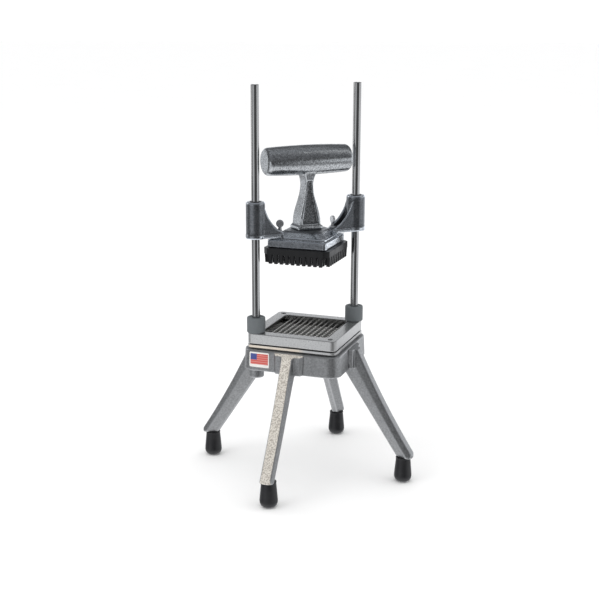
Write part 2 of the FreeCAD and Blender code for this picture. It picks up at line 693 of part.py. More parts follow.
def bumper(place):
    """Rubber stop on a rod, with a shallow dish round the rod at its top."""
    outer = BUMPER_DIAMETER / 2
    bore = ROD_RADIUS + BUMPER_BORE_CLEARANCE
    dish = BUMPER_DISH_DIAMETER / 2
    ring = turned([
        (bore, FRAME_TOP),
        (outer - BUMPER_CHAMFER, FRAME_TOP),
        (outer, FRAME_TOP + BUMPER_CHAMFER),
        (outer, BUMPER_TOP - BUMPER_CHAMFER),
        (outer - BUMPER_CHAMFER, BUMPER_TOP),
        (dish, BUMPER_TOP),
        (dish - BUMPER_DISH_DEPTH, BUMPER_TOP - BUMPER_DISH_DEPTH),
        (bore, BUMPER_TOP - BUMPER_DISH_DEPTH),
    ])
    return moved(ring, *place)


def sleeve():
    """Guide sleeve at the end of the right arm, with a low collar, before its bore."""
    collar_top = ARM_BOTTOM + ARM_FLOOR_THICKNESS
    chamfer = SLEEVE_EDGE_CHAMFER
    step = SLEEVE_COLLAR_RADIUS - SLEEVE_RADIUS
    form = turned([
        (0, ARM_BOTTOM),
        (SLEEVE_COLLAR_RADIUS - chamfer, ARM_BOTTOM),
        (SLEEVE_COLLAR_RADIUS, ARM_BOTTOM + chamfer),
        (SLEEVE_COLLAR_RADIUS, collar_top - step),
        (SLEEVE_RADIUS, collar_top),
        (SLEEVE_RADIUS, SLEEVE_TOP - chamfer),
        (SLEEVE_RADIUS - chamfer, SLEEVE_TOP),
        (0, SLEEVE_TOP),
    ])
    return moved(form, ROD_RUN, 0)


def arm_web(side):
    """One upright web of the right arm; its top edge sweeps up from the hub to the sleeve."""
    root = ROD_RUN - ARM_ROOT_RUN
    high = SLEEVE_TOP - ARM_WEB_SHOULDER
    outer = side * ARM_WEB_HALF_WIDTH
    inner = outer - side * ARM_WEB_THICKNESS
    end = ROD_RUN - ARM_SWEEP_END_RUN
    middle = Vector(ROD_RUN - ARM_SWEEP_MID_RUN, inner, SLEEVE_TOP - ARM_SWEEP_MID_DROP)
    top_edge = Part.Arc(Vector(root, inner, ARM_FLOOR), middle, Vector(end, inner, high)).toShape()
    corners = [(end, high), (ROD_RUN, high), (ROD_RUN, ARM_BOTTOM), (root, ARM_BOTTOM), (root, ARM_FLOOR)]
    points = [Vector(run, inner, z) for run, z in corners]
    edges = [top_edge] + [Part.makeLine(start, stop) for start, stop in zip(points, points[1:])]
    face = Part.Face(Part.Wire(edges))
    return face.extrude(Vector(0, outer - inner, 0))


def arm_floor():
    """Floor of the right arm's channel, a little wider than its webs."""
    edge = ARM_FLANGE_HALF_WIDTH - ARM_WEB_HALF_WIDTH
    lower = slab(ARM_ROOT_RUN / 2, ARM_FLANGE_HALF_WIDTH, edge, ARM_BOTTOM, ARM_FLOOR - edge)
    upper = slab(ARM_ROOT_RUN / 2, ARM_WEB_HALF_WIDTH, edge / 2, ARM_FLOOR - 2 * edge, ARM_FLOOR)
    return [moved(part, ROD_RUN - ARM_ROOT_RUN / 2, 0) for part in (lower, upper)]


def hub():
    """Plate over the pusher, with a raised step and a low dome under the handle."""
    plate = slab(HEAD_PLATE_HALF, HEAD_PLATE_HALF, HEAD_PLATE_CORNER_RADIUS, HEAD_PLATE_BOTTOM, HEAD_PLATE_TOP)
    step_half = HEAD_PLATE_HALF - HEAD_STEP_INSET
    step = slab(step_half, step_half, HEAD_PLATE_CORNER_RADIUS, HEAD_PLATE_BOTTOM, HEAD_STEP_TOP)
    dome_half = step_half - HEAD_STEP_INSET / 2
    dome = Part.makeLoft([
        rounded_rectangle(dome_half, dome_half, DOME_FOOT_CORNER_RADIUS, HEAD_STEP_TOP),
        rounded_rectangle(DOME_TOP_HALF_WIDTH, DOME_TOP_HALF_WIDTH, DOME_TOP_CORNER_RADIUS, DOME_TOP),
    ], True, True)
    return [plate, step, dome]


def head_casting():
    """Head: hub plate, two channel arms on the diagonal and a guide sleeve at each end."""
    arm = [sleeve(), arm_web(1), arm_web(-1)] + arm_floor()
    pieces = hub()
    for turn in (DIAGONAL_ANGLE, DIAGONAL_ANGLE + 180):
        pieces += [spun(piece, turn) for piece in arm]
    body = joined(pieces)
    tools = []
    for turn in (DIAGONAL_ANGLE, DIAGONAL_ANGLE + 180):
        tools += [spun(tool, turn) for tool in head_bores()]
    for run in (-HANDLE_SCREW_SPACING / 2, HANDLE_SCREW_SPACING / 2):
        hole = handle_screw_hole()
        tools.append(spun(moved(hole, run, 0), DIAGONAL_ANGLE))
    return body.cut(Part.makeCompound(tools))


def head_bores():
    """Sleeve bore and thumb screw hole of the right arm."""
    bore = BUSHING_OUTER_RADIUS + BUSHING_SEAT_CLEARANCE
    low = HEAD_PLATE_BOTTOM - OVERSHOOT
    sleeve_bore = post(bore, ROD_RUN, 0, low, SLEEVE_TOP + OVERSHOOT)
    screw_hole = post(THUMB_SCREW_DIAMETER / 2 + THUMB_RUNNING_CLEARANCE, THUMB_SCREW_RUN, 0, low,
                      ARM_FLOOR + OVERSHOOT)
    return [sleeve_bore, screw_hole]


def handle_screw_hole():
    """Stepped hole from the plate's underside for a handle screw."""
    head_seat = HEAD_PLATE_BOTTOM + HANDLE_SCREW_HEAD_HEIGHT
    low = HEAD_PLATE_BOTTOM - OVERSHOOT
    head = post(HANDLE_SCREW_HEAD_DIAMETER / 2 + SCREW_CLEARANCE, 0, 0, low, head_seat)
    shank = post(HANDLE_SCREW_DIAMETER / 2 + SCREW_CLEARANCE, 0, 0, low, DOME_TOP + OVERSHOOT)
    return head.fuse(shank)


def bushing(place, bottom):
    """Plain bearing pressed into one end of a sleeve; it runs on the rod."""
    ring = post(BUSHING_OUTER_RADIUS, *place, bottom, bottom + BUSHING_LENGTH)
    bore = post(ROD_RADIUS + BUSHING_RUNNING_CLEARANCE, *place, bottom - OVERSHOOT,
                bottom + BUSHING_LENGTH + OVERSHOOT)
    return ring.cut(bore)


def grip():
    """Barrel-shaped grip about the X axis, rounded at both ends."""
    half = GRIP_LENGTH / 2
    edge = GRIP_EDGE_RADIUS
    inside = edge * (1 - math.sin(math.radians(45)))
    shoulder = half - edge
    edges = [
        Part.Arc(Vector(-shoulder, 0, GRIP_END_RADIUS), Vector(0, 0, GRIP_MID_RADIUS),
                 Vector(shoulder, 0, GRIP_END_RADIUS)).toShape(),
        Part.Arc(Vector(shoulder, 0, GRIP_END_RADIUS), Vector(half - inside, 0, GRIP_END_RADIUS - inside),
                 Vector(half, 0, GRIP_END_RADIUS - edge)).toShape(),
        Part.makeLine(Vector(half, 0, GRIP_END_RADIUS - edge), Vector(half, 0, 0)),
        Part.makeLine(Vector(half, 0, 0), Vector(-half, 0, 0)),
        Part.makeLine(Vector(-half, 0, 0), Vector(-half, 0, GRIP_END_RADIUS - edge)),
        Part.Arc(Vector(-half, 0, GRIP_END_RADIUS - edge), Vector(inside - half, 0, GRIP_END_RADIUS - inside),
                 Vector(-shoulder, 0, GRIP_END_RADIUS)).toShape(),
    ]
    barrel = Part.Face(Part.Wire(edges)).revolve(Vector(0, 0, 0), Vector(1, 0, 0), 360)
    return moved(barrel, 0, 0, GRIP_AXIS)


def stem_sections():
    """Half width, half depth and height of the stem's level sections, from the foot up."""
    return [
        (STEM_LOW_RUN, STEM_LOW_HALF_DEPTH, STEM_BASE),
        (STEM_KNEE_RUN, STEM_KNEE_HALF_DEPTH, STEM_BASE + STEM_KNEE_HEIGHT),
        (STEM_WAIST_RUN, STEM_WAIST_HALF_DEPTH, GRIP_AXIS - STEM_WAIST_DROP),
        (STEM_NECK_RUN, STEM_NECK_HALF_DEPTH, GRIP_AXIS - STEM_NECK_DROP),
    ]


def stem():
    """Stem that narrows from its foot to a waist and spreads again into the grip."""
    sections = stem_sections()
    sections.append((STEM_CROWN_RUN, STEM_CROWN_HALF_DEPTH, GRIP_AXIS - STEM_CROWN_DROP))
    wires = [rounded_rectangle(run, depth, STEM_EDGE_RADIUS, z) for run, depth, z in sections]
    return Part.makeLoft(wires, True, False)


def stem_pocket():
    """Shallow recess in the broad face of the stem, inside a rim on each side."""
    wires = []
    low = STEM_BASE + POCKET_FLOOR_RISE
    high = GRIP_AXIS - POCKET_TOP_DROP
    stations = 5
    for index in range(stations):
        z = low + (high - low) * index / (stations - 1)
        run, depth = stem_size(z)
        floor = depth - POCKET_DEPTH
        half = (depth - floor) / 2 + OVERSHOOT / 2
        outline = rounded_rectangle(run - POCKET_RIM, half, POCKET_EDGE_RADIUS, z)
        outline.translate(Vector(0, floor + half, 0))
        wires.append(outline)
    return Part.makeLoft(wires, True, True)


def stem_size(z):
    """Half width and half depth of the stem at height z, between its sections."""
    sections = stem_sections()
    for lower, upper in zip(sections, sections[1:]):
        if z <= upper[2]:
            share = (z - lower[2]) / (upper[2] - lower[2])
            return lower[0] + (upper[0] - lower[0]) * share, lower[1] + (upper[1] - lower[1]) * share
    return sections[-1][0], sections[-1][1]


def handle():
    """Grip, stem and foot in one casting, on the diagonal."""
    foot = slab(STEM_FOOT_RUN, STEM_FOOT_HALF_DEPTH, STEM_FOOT_CORNER_RADIUS, DOME_TOP, STEM_BASE)
    body = joined([grip(), stem(), foot])
    pocket = stem_pocket()
    body = body.cut(Part.makeCompound([pocket, spun(pocket, 180)]))
    bore = HANDLE_SCREW_DIAMETER / 2 + THREAD_CLEARANCE
    thread_top = DOME_TOP + HANDLE_SCREW_GRIP + SCREW_CLEARANCE
    for run in (-HANDLE_SCREW_SPACING / 2, HANDLE_SCREW_SPACING / 2):
        body = body.cut(post(bore, run, 0, DOME_TOP - OVERSHOOT, thread_top))
    return spun(body, DIAGONAL_ANGLE)


def handle_screws():
    """Cap screws from under the plate into the handle's foot."""
    seat = HEAD_PLATE_BOTTOM + HANDLE_SCREW_HEAD_HEIGHT
    length = DOME_TOP - seat + HANDLE_SCREW_GRIP
    screw = socket_screw(HANDLE_SCREW_DIAMETER, HANDLE_SCREW_HEAD_DIAMETER,
                         HANDLE_SCREW_HEAD_HEIGHT - SCREW_CLEARANCE, length, HANDLE_SCREW_SOCKET)
    screw.rotate(Vector(0, 0, 0), Vector(1, 0, 0), 180)
    screws = []
    for run in (-HANDLE_SCREW_SPACING / 2, HANDLE_SCREW_SPACING / 2):
        screws.append(spun(moved(screw, run, 0, seat), DIAGONAL_ANGLE))
    return Part.makeCompound(screws)


def tooth_slots():
    """Tapered slots between the teeth, both ways, open at the bottom."""
    root = PUSHER_SLOT_ROOT_WIDTH / 2
    tip = PUSHER_SLOT_TIP_WIDTH / 2
    reach = PUSHER_HALF + OVERSHOOT
    slots = []
    for x in blade_places():
        corners = [
            Vector(x - root, -reach, PUSHER_PLATE_BOTTOM),
            Vector(x + root, -reach, PUSHER_PLATE_BOTTOM),
            Vector(x + tip, -reach, PUSHER_BOTTOM),
            Vector(x + tip, -reach, PUSHER_BOTTOM - OVERSHOOT),
            Vector(x - tip, -reach, PUSHER_BOTTOM - OVERSHOOT),
            Vector(x - tip, -reach, PUSHER_BOTTOM),
        ]
        outline = Part.makePolygon(corners + corners[:1])
        slots.append(Part.Face(outline).extrude(Vector(0, 2 * reach, 0)))
    return slots


def pusher_block():
    """Black block with one square tooth for each cell except the four corner ones."""
    half = PUSHER_HALF
    cut = half - blade_places()[-1]
    points = []
    for x, y in ((1, -1), (1, 1), (-1, 1), (-1, -1)):
        along = (x * half, y * (half - cut))
        across = (x * (half - cut), y * half)
        points += [along, across] if x * y > 0 else [across, along]
    corners = [Vector(x, y, PUSHER_BOTTOM) for x, y in points]
    outline = Part.makePolygon(corners + corners[:1])
    body = Part.Face(outline).extrude(Vector(0, 0, HEAD_PLATE_BOTTOM - PUSHER_BOTTOM))
    slots = tooth_slots()
    body = body.cut(Part.makeCompound(slots))
    body = body.cut(Part.makeCompound([spun(slot, 90) for slot in slots]))
    notches = []
    for side in range(4):
        low = (half - cut, half - cut, PUSHER_BOTTOM - OVERSHOOT)
        high = (half + OVERSHOOT, half + OVERSHOOT, PUSHER_PLATE_BOTTOM)
        notches.append(spun(box(low, high), 90 * side))
    body = body.cut(Part.makeCompound(notches))
    return body.cut(Part.makeCompound(insert_pockets()))


def insert_pockets():
    """Blind pockets in the top of the block for the threaded inserts."""
    pockets = []
    bottom = HEAD_PLATE_BOTTOM - INSERT_LENGTH
    for turn in (DIAGONAL_ANGLE, DIAGONAL_ANGLE + 180):
        pocket = post(INSERT_DIAMETER / 2 + BUSHING_SEAT_CLEARANCE, THUMB_SCREW_RUN, 0, bottom,
                      HEAD_PLATE_BOTTOM + OVERSHOOT)
        pockets.append(spun(pocket, turn))
    return pockets


def pusher_inserts():
    """Threaded brass inserts in the block, one under each thumb screw."""
    bottom = HEAD_PLATE_BOTTOM - INSERT_LENGTH
    ring = post(INSERT_DIAMETER / 2, THUMB_SCREW_RUN, 0, bottom, HEAD_PLATE_BOTTOM)
    bore = post(THUMB_SCREW_DIAMETER / 2 + THUMB_RUNNING_CLEARANCE, THUMB_SCREW_RUN, 0, bottom - OVERSHOOT,
                HEAD_PLATE_BOTTOM + OVERSHOOT)
    insert = ring.cut(bore)
    return Part.makeCompound([spun(insert, DIAGONAL_ANGLE + 180), spun(insert, DIAGONAL_ANGLE)])


def thumb_screw(turn, paddle_angle):
    """Thumb screw with a round flat paddle; it holds the block under the plate."""
    seat = ARM_FLOOR + THUMB_RUNNING_CLEARANCE
    centre = ARM_FLOOR + THUMB_PADDLE_HEIGHT
    shank_bottom = HEAD_PLATE_BOTTOM - THUMB_SCREW_ENGAGEMENT
    half = THUMB_PADDLE_THICKNESS / 2
    paddle = Part.makeCylinder(THUMB_PADDLE_DIAMETER / 2, THUMB_PADDLE_THICKNESS, Vector(0, -half, centre),
                               Vector(0, 1, 0))
    screw = joined([
        post(THUMB_SCREW_DIAMETER / 2, 0, 0, shank_bottom, seat + THUMB_COLLAR_HEIGHT),
        post(THUMB_COLLAR_DIAMETER / 2, 0, 0, seat, seat + THUMB_COLLAR_HEIGHT),
        Part.makeCone(THUMB_NECK_DIAMETER / 2, half, centre - seat, Vector(0, 0, seat), UP),
        paddle,
    ])
    place = spun(Part.Vertex(THUMB_SCREW_RUN, 0, 0), turn).Point
    return moved(spun(screw, paddle_angle), place.x, place.y)


def label_plate():
    """Thin blank plate on the front of the skirt, left of the front leg."""
    low = LABEL_SEAT_CLEARANCE
    high = LABEL_SEAT_CLEARANCE + LABEL_THICKNESS
    outer = skirt_envelope(high, SKIRT_BOTTOM, SKIRT_TOP)
    inner = skirt_envelope(low, SKIRT_BOTTOM, SKIRT_TOP)
    bottom = SKIRT_BOTTOM + LABEL_BOTTOM_RISE
    corners = [
        (LABEL_LEFT, bottom),
        (LABEL_LEFT + LABEL_WIDTH, bottom),
        (LABEL_LEFT + LABEL_WIDTH, bottom + LABEL_HEIGHT),
        (LABEL_LEFT, bottom + LABEL_HEIGHT),
    ]
    depth = BASE_HALF + SKIRT_DRAFT + OVERSHOOT
    outline = rounded_polygon(corners, [LABEL_CORNER_RADIUS] * 4, lambda spot: Vector(spot.x, -depth, spot.y))
    window = Part.Face(outline).extrude(Vector(0, depth - OPENING_HALF, 0))
    return outer.cut(inner).common(window)


def build():
    """Every sub-part by name."""
    left, right = rod_corners()
    upper_bushing = SLEEVE_TOP - BUSHING_LENGTH
    parts = {
        "base_casting": base_casting(),
        "leg_screws": leg_screws(),
        "blade_frame_upper": blade_frame_upper(),
        "blade_frame_lower": blade_frame_lower(),
        "upper_blades": upper_blades(),
        "lower_blades": lower_blades(),
        "blade_frame_screws": blade_frame_screws(),
        "guide_rod_left": guide_rod(left),
        "guide_rod_right": guide_rod(right),
        "rod_bolts": rod_bolts(),
        "rod_washers": rod_washers(),
        "bumper_left": bumper(left),
        "bumper_right": bumper(right),
        "head_casting": head_casting(),
        "handle": handle(),
        "handle_screws": handle_screws(),
        "bushing_left_lower": bushing(left, ARM_BOTTOM),
        "bushing_left_upper": bushing(left, upper_bushing),
        "bushing_right_lower": bushing(right, ARM_BOTTOM),
        "bushing_right_upper": bushing(right, upper_bushing),
        "pusher_block": pusher_block(),
        "pusher_inserts": pusher_inserts(),
        "thumb_screw_left": thumb_screw(DIAGONAL_ANGLE + 180, LEFT_PADDLE_ANGLE),
        "thumb_screw_right": thumb_screw(DIAGONAL_ANGLE, RIGHT_PADDLE_ANGLE),
        "label_plate": label_plate(),
    }
    one_leg = leg()
    one_foot = rubber_foot()
    for name, turn in (("right", 0), ("back", 90), ("left", 180), ("front", 270)):
        parts["leg_" + name] = spun(one_leg, turn)
        parts["foot_" + name] = spun(one_foot, turn)
    return parts


def main():
    os.makedirs("parts", exist_ok=True)
    for name, shape in build().items():
        shape.exportStep("parts/" + name + ".step")
        size = shape.BoundBox
        print("%-22s solids %2d valid %s volume %10.1f  z %.1f to %.1f" % (
            name, len(shape.Solids), shape.isValid(), shape.Volume, size.ZMin, size.ZMax))


main()
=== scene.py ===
"""Looks of the french fry cutter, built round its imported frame.

Everything is in metres, in the frame's own axes: +X right along the front edge of the base, +Y
away from the front, +Z up. The rods, the arms and the grip lie on the diagonal.
"""

import math

import bmesh
import bpy
from bpy.props import EnumProperty, FloatProperty, FloatVectorProperty, IntProperty, PointerProperty
from mathutils import Matrix, Vector


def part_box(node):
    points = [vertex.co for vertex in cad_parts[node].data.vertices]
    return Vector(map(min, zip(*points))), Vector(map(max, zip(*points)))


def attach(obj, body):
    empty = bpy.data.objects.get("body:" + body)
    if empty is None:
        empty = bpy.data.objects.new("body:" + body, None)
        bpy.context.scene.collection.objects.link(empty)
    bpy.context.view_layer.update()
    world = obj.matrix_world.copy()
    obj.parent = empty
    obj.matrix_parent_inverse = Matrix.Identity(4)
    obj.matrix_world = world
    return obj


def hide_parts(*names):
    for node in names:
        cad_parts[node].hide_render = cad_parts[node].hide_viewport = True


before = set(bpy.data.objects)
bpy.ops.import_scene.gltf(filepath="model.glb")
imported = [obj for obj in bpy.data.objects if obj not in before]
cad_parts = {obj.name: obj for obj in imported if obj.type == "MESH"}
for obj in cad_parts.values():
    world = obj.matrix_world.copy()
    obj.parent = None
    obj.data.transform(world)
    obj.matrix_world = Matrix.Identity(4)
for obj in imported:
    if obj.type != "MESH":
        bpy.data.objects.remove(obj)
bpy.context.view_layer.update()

bl_info = {
    "name": "French Fry Cutter",
    "version": (1, 0, 0),
    "blender": (4, 5, 0),
    "location": "View3D > Sidebar > Fry Cutter",
    "description": "Builds the castings, blades, pusher, rubber and label of a french fry cutter",
    "category": "Object",
}

MM = 0.001

# Names of the sides
SIDES = ("left", "right")
LEGS = ("front", "right", "back", "left")

# Places on the castings and frames where a finish, a painted light or a painted shade changes
ARM_FLOOR = 0.3002
POCKET_FLOOR = 8.6 * MM
POCKET_TOP = 0.3605
LEG_FACE_HALF = 6.4 * MM
PAD_BEVEL = 0.158
PAINTED_REFLECTION_FADE = (10 * MM, 18 * MM)
PAINTED_REFLECTION_HEIGHT = 3.5 * MM
MASK_FADE = 0.6 * MM

# The castings' meshes
GRIP_EXTRA_ROUNDS = 9
BASE_FEWER_ROUNDS = 2
PADDLE_VOXEL = 0.3 * MM
PADDLE_ROUNDS = 4

# The blade frames; the land is the narrower top of the lower one
BLADE_SEAT = 4.0 * MM
WINDOW_CORNER = 7.0 * MM
FRAME_CORNER = 6.5 * MM
FRAME_EDGE = 0.8 * MM
LOWER_CORNER = 6.9 * MM
LOWER_EDGE = 0.5 * MM
LOWER_THICKNESS = 3.4 * MM
LAND_INSET = 1.9 * MM
LAND_EDGE = 0.15 * MM
LAND_OVERLAP = 0.4 * MM
ROD_HOLE = 4.96 * MM
SCREW_HOLE = 2.95 * MM

# The two drawn sets of blades meet this far above the lowest point of the solid upper ones
BLADE_STEP = 2.6 * MM
BLADE_END_GAP = 0.2 * MM

# The pusher
PUSHER_PLATE = 7.4 * MM
PUSHER_CORNER_CUT = 6.03 * MM
PUSHER_CORNER = 0.8 * MM
PUSHER_EDGE = 0.4 * MM
SLOT_WIDTH = 1.6 * MM
TOOTH_OVERLAP = 0.5 * MM
TOOTH_SHOULDER = 0.94

# Rods, bumpers and feet; the foot's outline is (radius, height) in millimetres
ROD_END_EDGE = 0.6 * MM
BUMPER_BORE = 4.9 * MM
BUMPER_EDGE = 0.9 * MM
DISH_RADIUS = 8.0 * MM
DISH_DEPTH = 0.8 * MM
FOOT_OUTLINE = [(0, 0), (4.5, 0), (7.4, 0.7), (9.6, 2.8), (10.6, 6.2), (10.6, 8.6), (10.1, 14.0), (8.7, 29.2),
                (8.75, 29.5), (9.0, 29.6), (9.0, 31.0), (5.55, 31.0)]
FOOT_ROUNDING = 1.6 * MM
FOOT_BORE = 5.55 * MM
FOOT_FLOOR = 6.0 * MM

# The label's print
LABEL_BORDER = 1.3 * MM
LABEL_TOP = 1.6 * MM
LABEL_FOOT = 3.4 * MM
BLOCK_WIDTH = 8.2 * MM
BLOCK_FOOT = 9.0 * MM
STRIPE_WAVES = 2400.0

# Grain of the sandy castings and of the polished ones
GRAIN_SCALE = 900.0
GRAIN_DEPTH = 0.1 * MM
FINE_GRAIN_SCALE = 700.0
FINE_MOTTLE_SCALE = 620.0
MOTTLE_RANGE = (0.36, 0.64)

# Sharpest turn between faces that still shade as one, in degrees
TURNED_SHARP = 40
MILLED_SHARP = 14
TEETH_SHARP = 25
LABEL_SHARP = 30

# Points round a turned piece and round a drilled hole, and how near to its ends a long run gets extra points
TURNED_STEPS = 96
HOLE_STEPS = 48
SUPPORT_GAP = 0.3 * MM

# What metal mirrors: brightness round the compass, by degrees from +X, just below the horizon, just above
# it and on the floor close by, and the colours of the floor at the foot, of the ceiling and straight above
LOW_WALLS = [(-180, 0.3), (180, 0.3), (-168, 0.16), (-147, 0.14), (-140, 0.3), (-132, 0.78), (-98, 0.72),
             (-90, 0.25), (-82, 0.1), (-60, 0.08), (-34, 0.08), (-22, 0.14), (-14, 0.9), (14, 0.9),
             (34, 0.62), (60, 1.15), (90, 1.2), (120, 0.9), (146, 0.65), (162, 0.85)]
HIGH_WALLS = [(-180, 0.3), (180, 0.3), (-150, 0.16), (-90, 0.16), (-30, 0.12), (-8, 0.14), (20, 0.3),
              (50, 0.95), (90, 1.2), (130, 1.0), (160, 0.6)]
NEAR_FLOOR = [(-180, 0.5), (180, 0.5), (-110, 0.64), (-75, 0.5), (-38, 0.12), (-15, 0.3), (30, 0.5),
              (58, 0.36), (95, 0.36), (140, 0.45)]
STEEP_FLOOR = (0.95, 0.96, 0.98)
CEILING = (0.17, 0.175, 0.185)
ZENITH = (0.3, 0.31, 0.325)
# Heights, as the Z of a direction, over which one band of the surroundings turns into the next
STEEP_BAND = (-0.68, -0.45)
FLOOR_BAND = (-0.36, -0.27)
HORIZON_BAND = (-0.03, 0.05)
CEILING_BAND = (0.18, 0.4)
ZENITH_BAND = (0.78, 0.9)
# Soft lamps: name, place, width, height, share of the key's power, and whether metal mirrors them
LAMPS = [("Key", (-0.9, -1.0, 1.5), 1.0, 0.8, 1.0, False),
         ("Top", (0.15, 0.1, 1.9), 0.9, 0.9, 0.8, False),
         ("Right", (1.12, 0.24, 1.27), 0.5, 1.0, 0.12, True),
         ("Left", (-1.5, -0.1, 0.6), 0.3, 0.9, 0.3, True)]
LAMP_TARGET = (0, 0, 0.28)

# The camera that fits the photograph: its focal length in pixels of a picture this wide
CAMERA_PLACE = (0.42968, -1.21637, 0.53993)
CAMERA_ROLL = 0.2
FOCAL_PIXELS = 1105.046
PICTURE_WIDTH = 599
SENSOR_WIDTH = 36.0

FLOOR_RADIUS = 30.0


# Sizes and colours that a user may change

class CastingSettings(bpy.types.PropertyGroup):
    grip_voxel: FloatProperty(
        name="Grip Detail", description="Size of the mesh cells of the handle",
        default=0.0008, min=0.0004, max=0.003, unit="LENGTH")
    head_voxel: FloatProperty(
        name="Head Detail", description="Size of the mesh cells of the head",
        default=0.0009, min=0.0005, max=0.003, unit="LENGTH")
    base_voxel: FloatProperty(
        name="Base Detail", description="Size of the mesh cells of the base and the legs",
        default=0.001, min=0.0006, max=0.003, unit="LENGTH")
    rounding: IntProperty(
        name="Edge Rounding", description="How often the cast edges are softened",
        default=5, min=0, max=20)
    grip_tone: FloatVectorProperty(
        name="Grip Tone", description="Colour of the polished handle",
        default=(0.46, 0.475, 0.49), subtype="COLOR", min=0, max=1)
    head_tone: FloatVectorProperty(
        name="Head Tone", description="Colour of the polished head",
        default=(0.19, 0.2, 0.214), subtype="COLOR", min=0, max=1)
    base_tone: FloatVectorProperty(
        name="Base Tone", description="Colour of the satin base and legs",
        default=(0.4, 0.405, 0.41), subtype="COLOR", min=0, max=1)


class BladeSettings(bpy.types.PropertyGroup):
    count: IntProperty(
        name="Blades Each Way", description="Number of blades in each set",
        default=11, min=2, max=40)
    thickness: FloatProperty(
        name="Blade Thickness", description="Thickness of a blade strip",
        default=0.00053, min=0.0002, max=0.002, unit="LENGTH")
    edge_height: FloatProperty(
        name="Edge Height", description="Height of the ground cutting edge",
        default=0.0011, min=0.0, max=0.003, unit="LENGTH")
    frame_tone: FloatVectorProperty(
        name="Frame Tone", description="Colour of the blade frames",
        default=(0.53, 0.53, 0.525), subtype="COLOR", min=0, max=1)
    blade_tone: FloatVectorProperty(
        name="Blade Tone", description="Colour of the blade steel",
        default=(0.72, 0.72, 0.71), subtype="COLOR", min=0, max=1)


class PusherSettings(bpy.types.PropertyGroup):
    teeth: IntProperty(
        name="Teeth Each Way", description="Teeth along one side of the block, its corners left out",
        default=12, min=3, max=40)
    tooth_rounding: FloatProperty(
        name="Tooth Rounding", description="Corner radius of a tooth",
        default=0.0007, min=0.0, max=0.002, unit="LENGTH")
    plastic_tone: FloatVectorProperty(
        name="Plastic Tone", description="Colour of the pusher block",
        default=(0.007, 0.007, 0.008), subtype="COLOR", min=0, max=1)


class RubberSettings(bpy.types.PropertyGroup):
    bumper_tone: FloatVectorProperty(
        name="Bumper Tone", description="Colour of the stops on the rods",
        default=(0.118, 0.132, 0.14), subtype="COLOR", min=0, max=1)
    foot_tone: FloatVectorProperty(
        name="Foot Tone", description="Colour of the rubber feet",
        default=(0.012, 0.012, 0.014), subtype="COLOR", min=0, max=1)


class StageSettings(bpy.types.PropertyGroup):
    camera_azimuth: FloatProperty(
        name="Camera Azimuth", description="How far the camera stands to the right of the front",
        default=math.radians(19.81), subtype="ANGLE")
    camera_elevation: FloatProperty(
        name="Camera Elevation", description="How far the camera looks down",
        default=math.radians(14.137), subtype="ANGLE")
    key_power: FloatProperty(
        name="Key Light", description="Power of the large soft light", default=5.0, min=0)
    white_strength: FloatProperty(
        name="White Strength", description="Brightness of the white surroundings", default=1.08, min=0)
    surroundings: EnumProperty(
        name="Surroundings", description="What polished metal mirrors",
        items=[("STUDIO", "Studio", "Dark walls and bright panels"), ("PLAIN", "Plain", "Even pale walls")],
        default="STUDIO")


def settings():
    return bpy.context.scene.fry_cutter


# Shared ways of making meshes

def link(piece):
    bpy.context.scene.collection.objects.link(piece)
    return piece


def new_piece(name, mesh, material, body, replaced=()):
    """Puts a finished mesh in the scene, on its body and in the place of its frame nodes."""
    piece = link(bpy.data.objects.new(name, mesh))
    mesh.materials.clear()
    mesh.materials.append(material)
    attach(piece, body)
    if replaced:
        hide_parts(*replaced)
    return piece


def plain_mesh(maker, name):
    """Mesh of an object with its modifiers applied; the object that made it goes."""
    bpy.context.view_layer.update()
    evaluated = maker.evaluated_get(bpy.context.evaluated_depsgraph_get())
    mesh = bpy.data.meshes.new_from_object(evaluated)
    mesh.name = name
    old_data = maker.data
    was_curve = maker.type == "CURVE"
    maker.modifiers.clear()
    bpy.data.objects.remove(maker)
    if was_curve:
        bpy.data.curves.remove(old_data)
    else:
        bpy.data.meshes.remove(old_data)
    return mesh


def smooth_faces(mesh, sharp_degrees=None):
    """Smooth shading, with edges sharper than the angle kept crisp."""
    for polygon in mesh.polygons:
        polygon.use_smooth = True
    if sharp_degrees is not None:
        mesh.set_sharp_from_angle(angle=math.radians(sharp_degrees))


def clean_mesh(mesh, merge_distance=None):
    """Turns the faces outward, and first merges points that lie closer than a distance."""
    worker = bmesh.new()
    worker.from_mesh(mesh)
    if merge_distance:
        bmesh.ops.remove_doubles(worker, verts=worker.verts, dist=merge_distance)
    bmesh.ops.recalc_face_normals(worker, faces=worker.faces)
    worker.to_mesh(mesh)
    worker.free()
    mesh.update()
    return mesh


def frame_copy(node):
    """Merged copy of a frame node's mesh."""
    return clean_mesh(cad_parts[node].data.copy(), 2e-6)


def cast_mesh(node, voxel, rounds):
    """Copy of a frame node as it leaves the mould: edges rounded, inner corners filleted."""
    maker = link(bpy.data.objects.new(node + "_maker", frame_copy(node)))
    remesh = maker.modifiers.new("Cells", "REMESH")
    remesh.mode = "VOXEL"
    remesh.voxel_size = voxel
    soften = maker.modifiers.new("Soften", "SMOOTH")
    soften.factor = 0.5
    soften.iterations = rounds
    mesh = plain_mesh(maker, node + "_cast")
    smooth_faces(mesh)
    return mesh


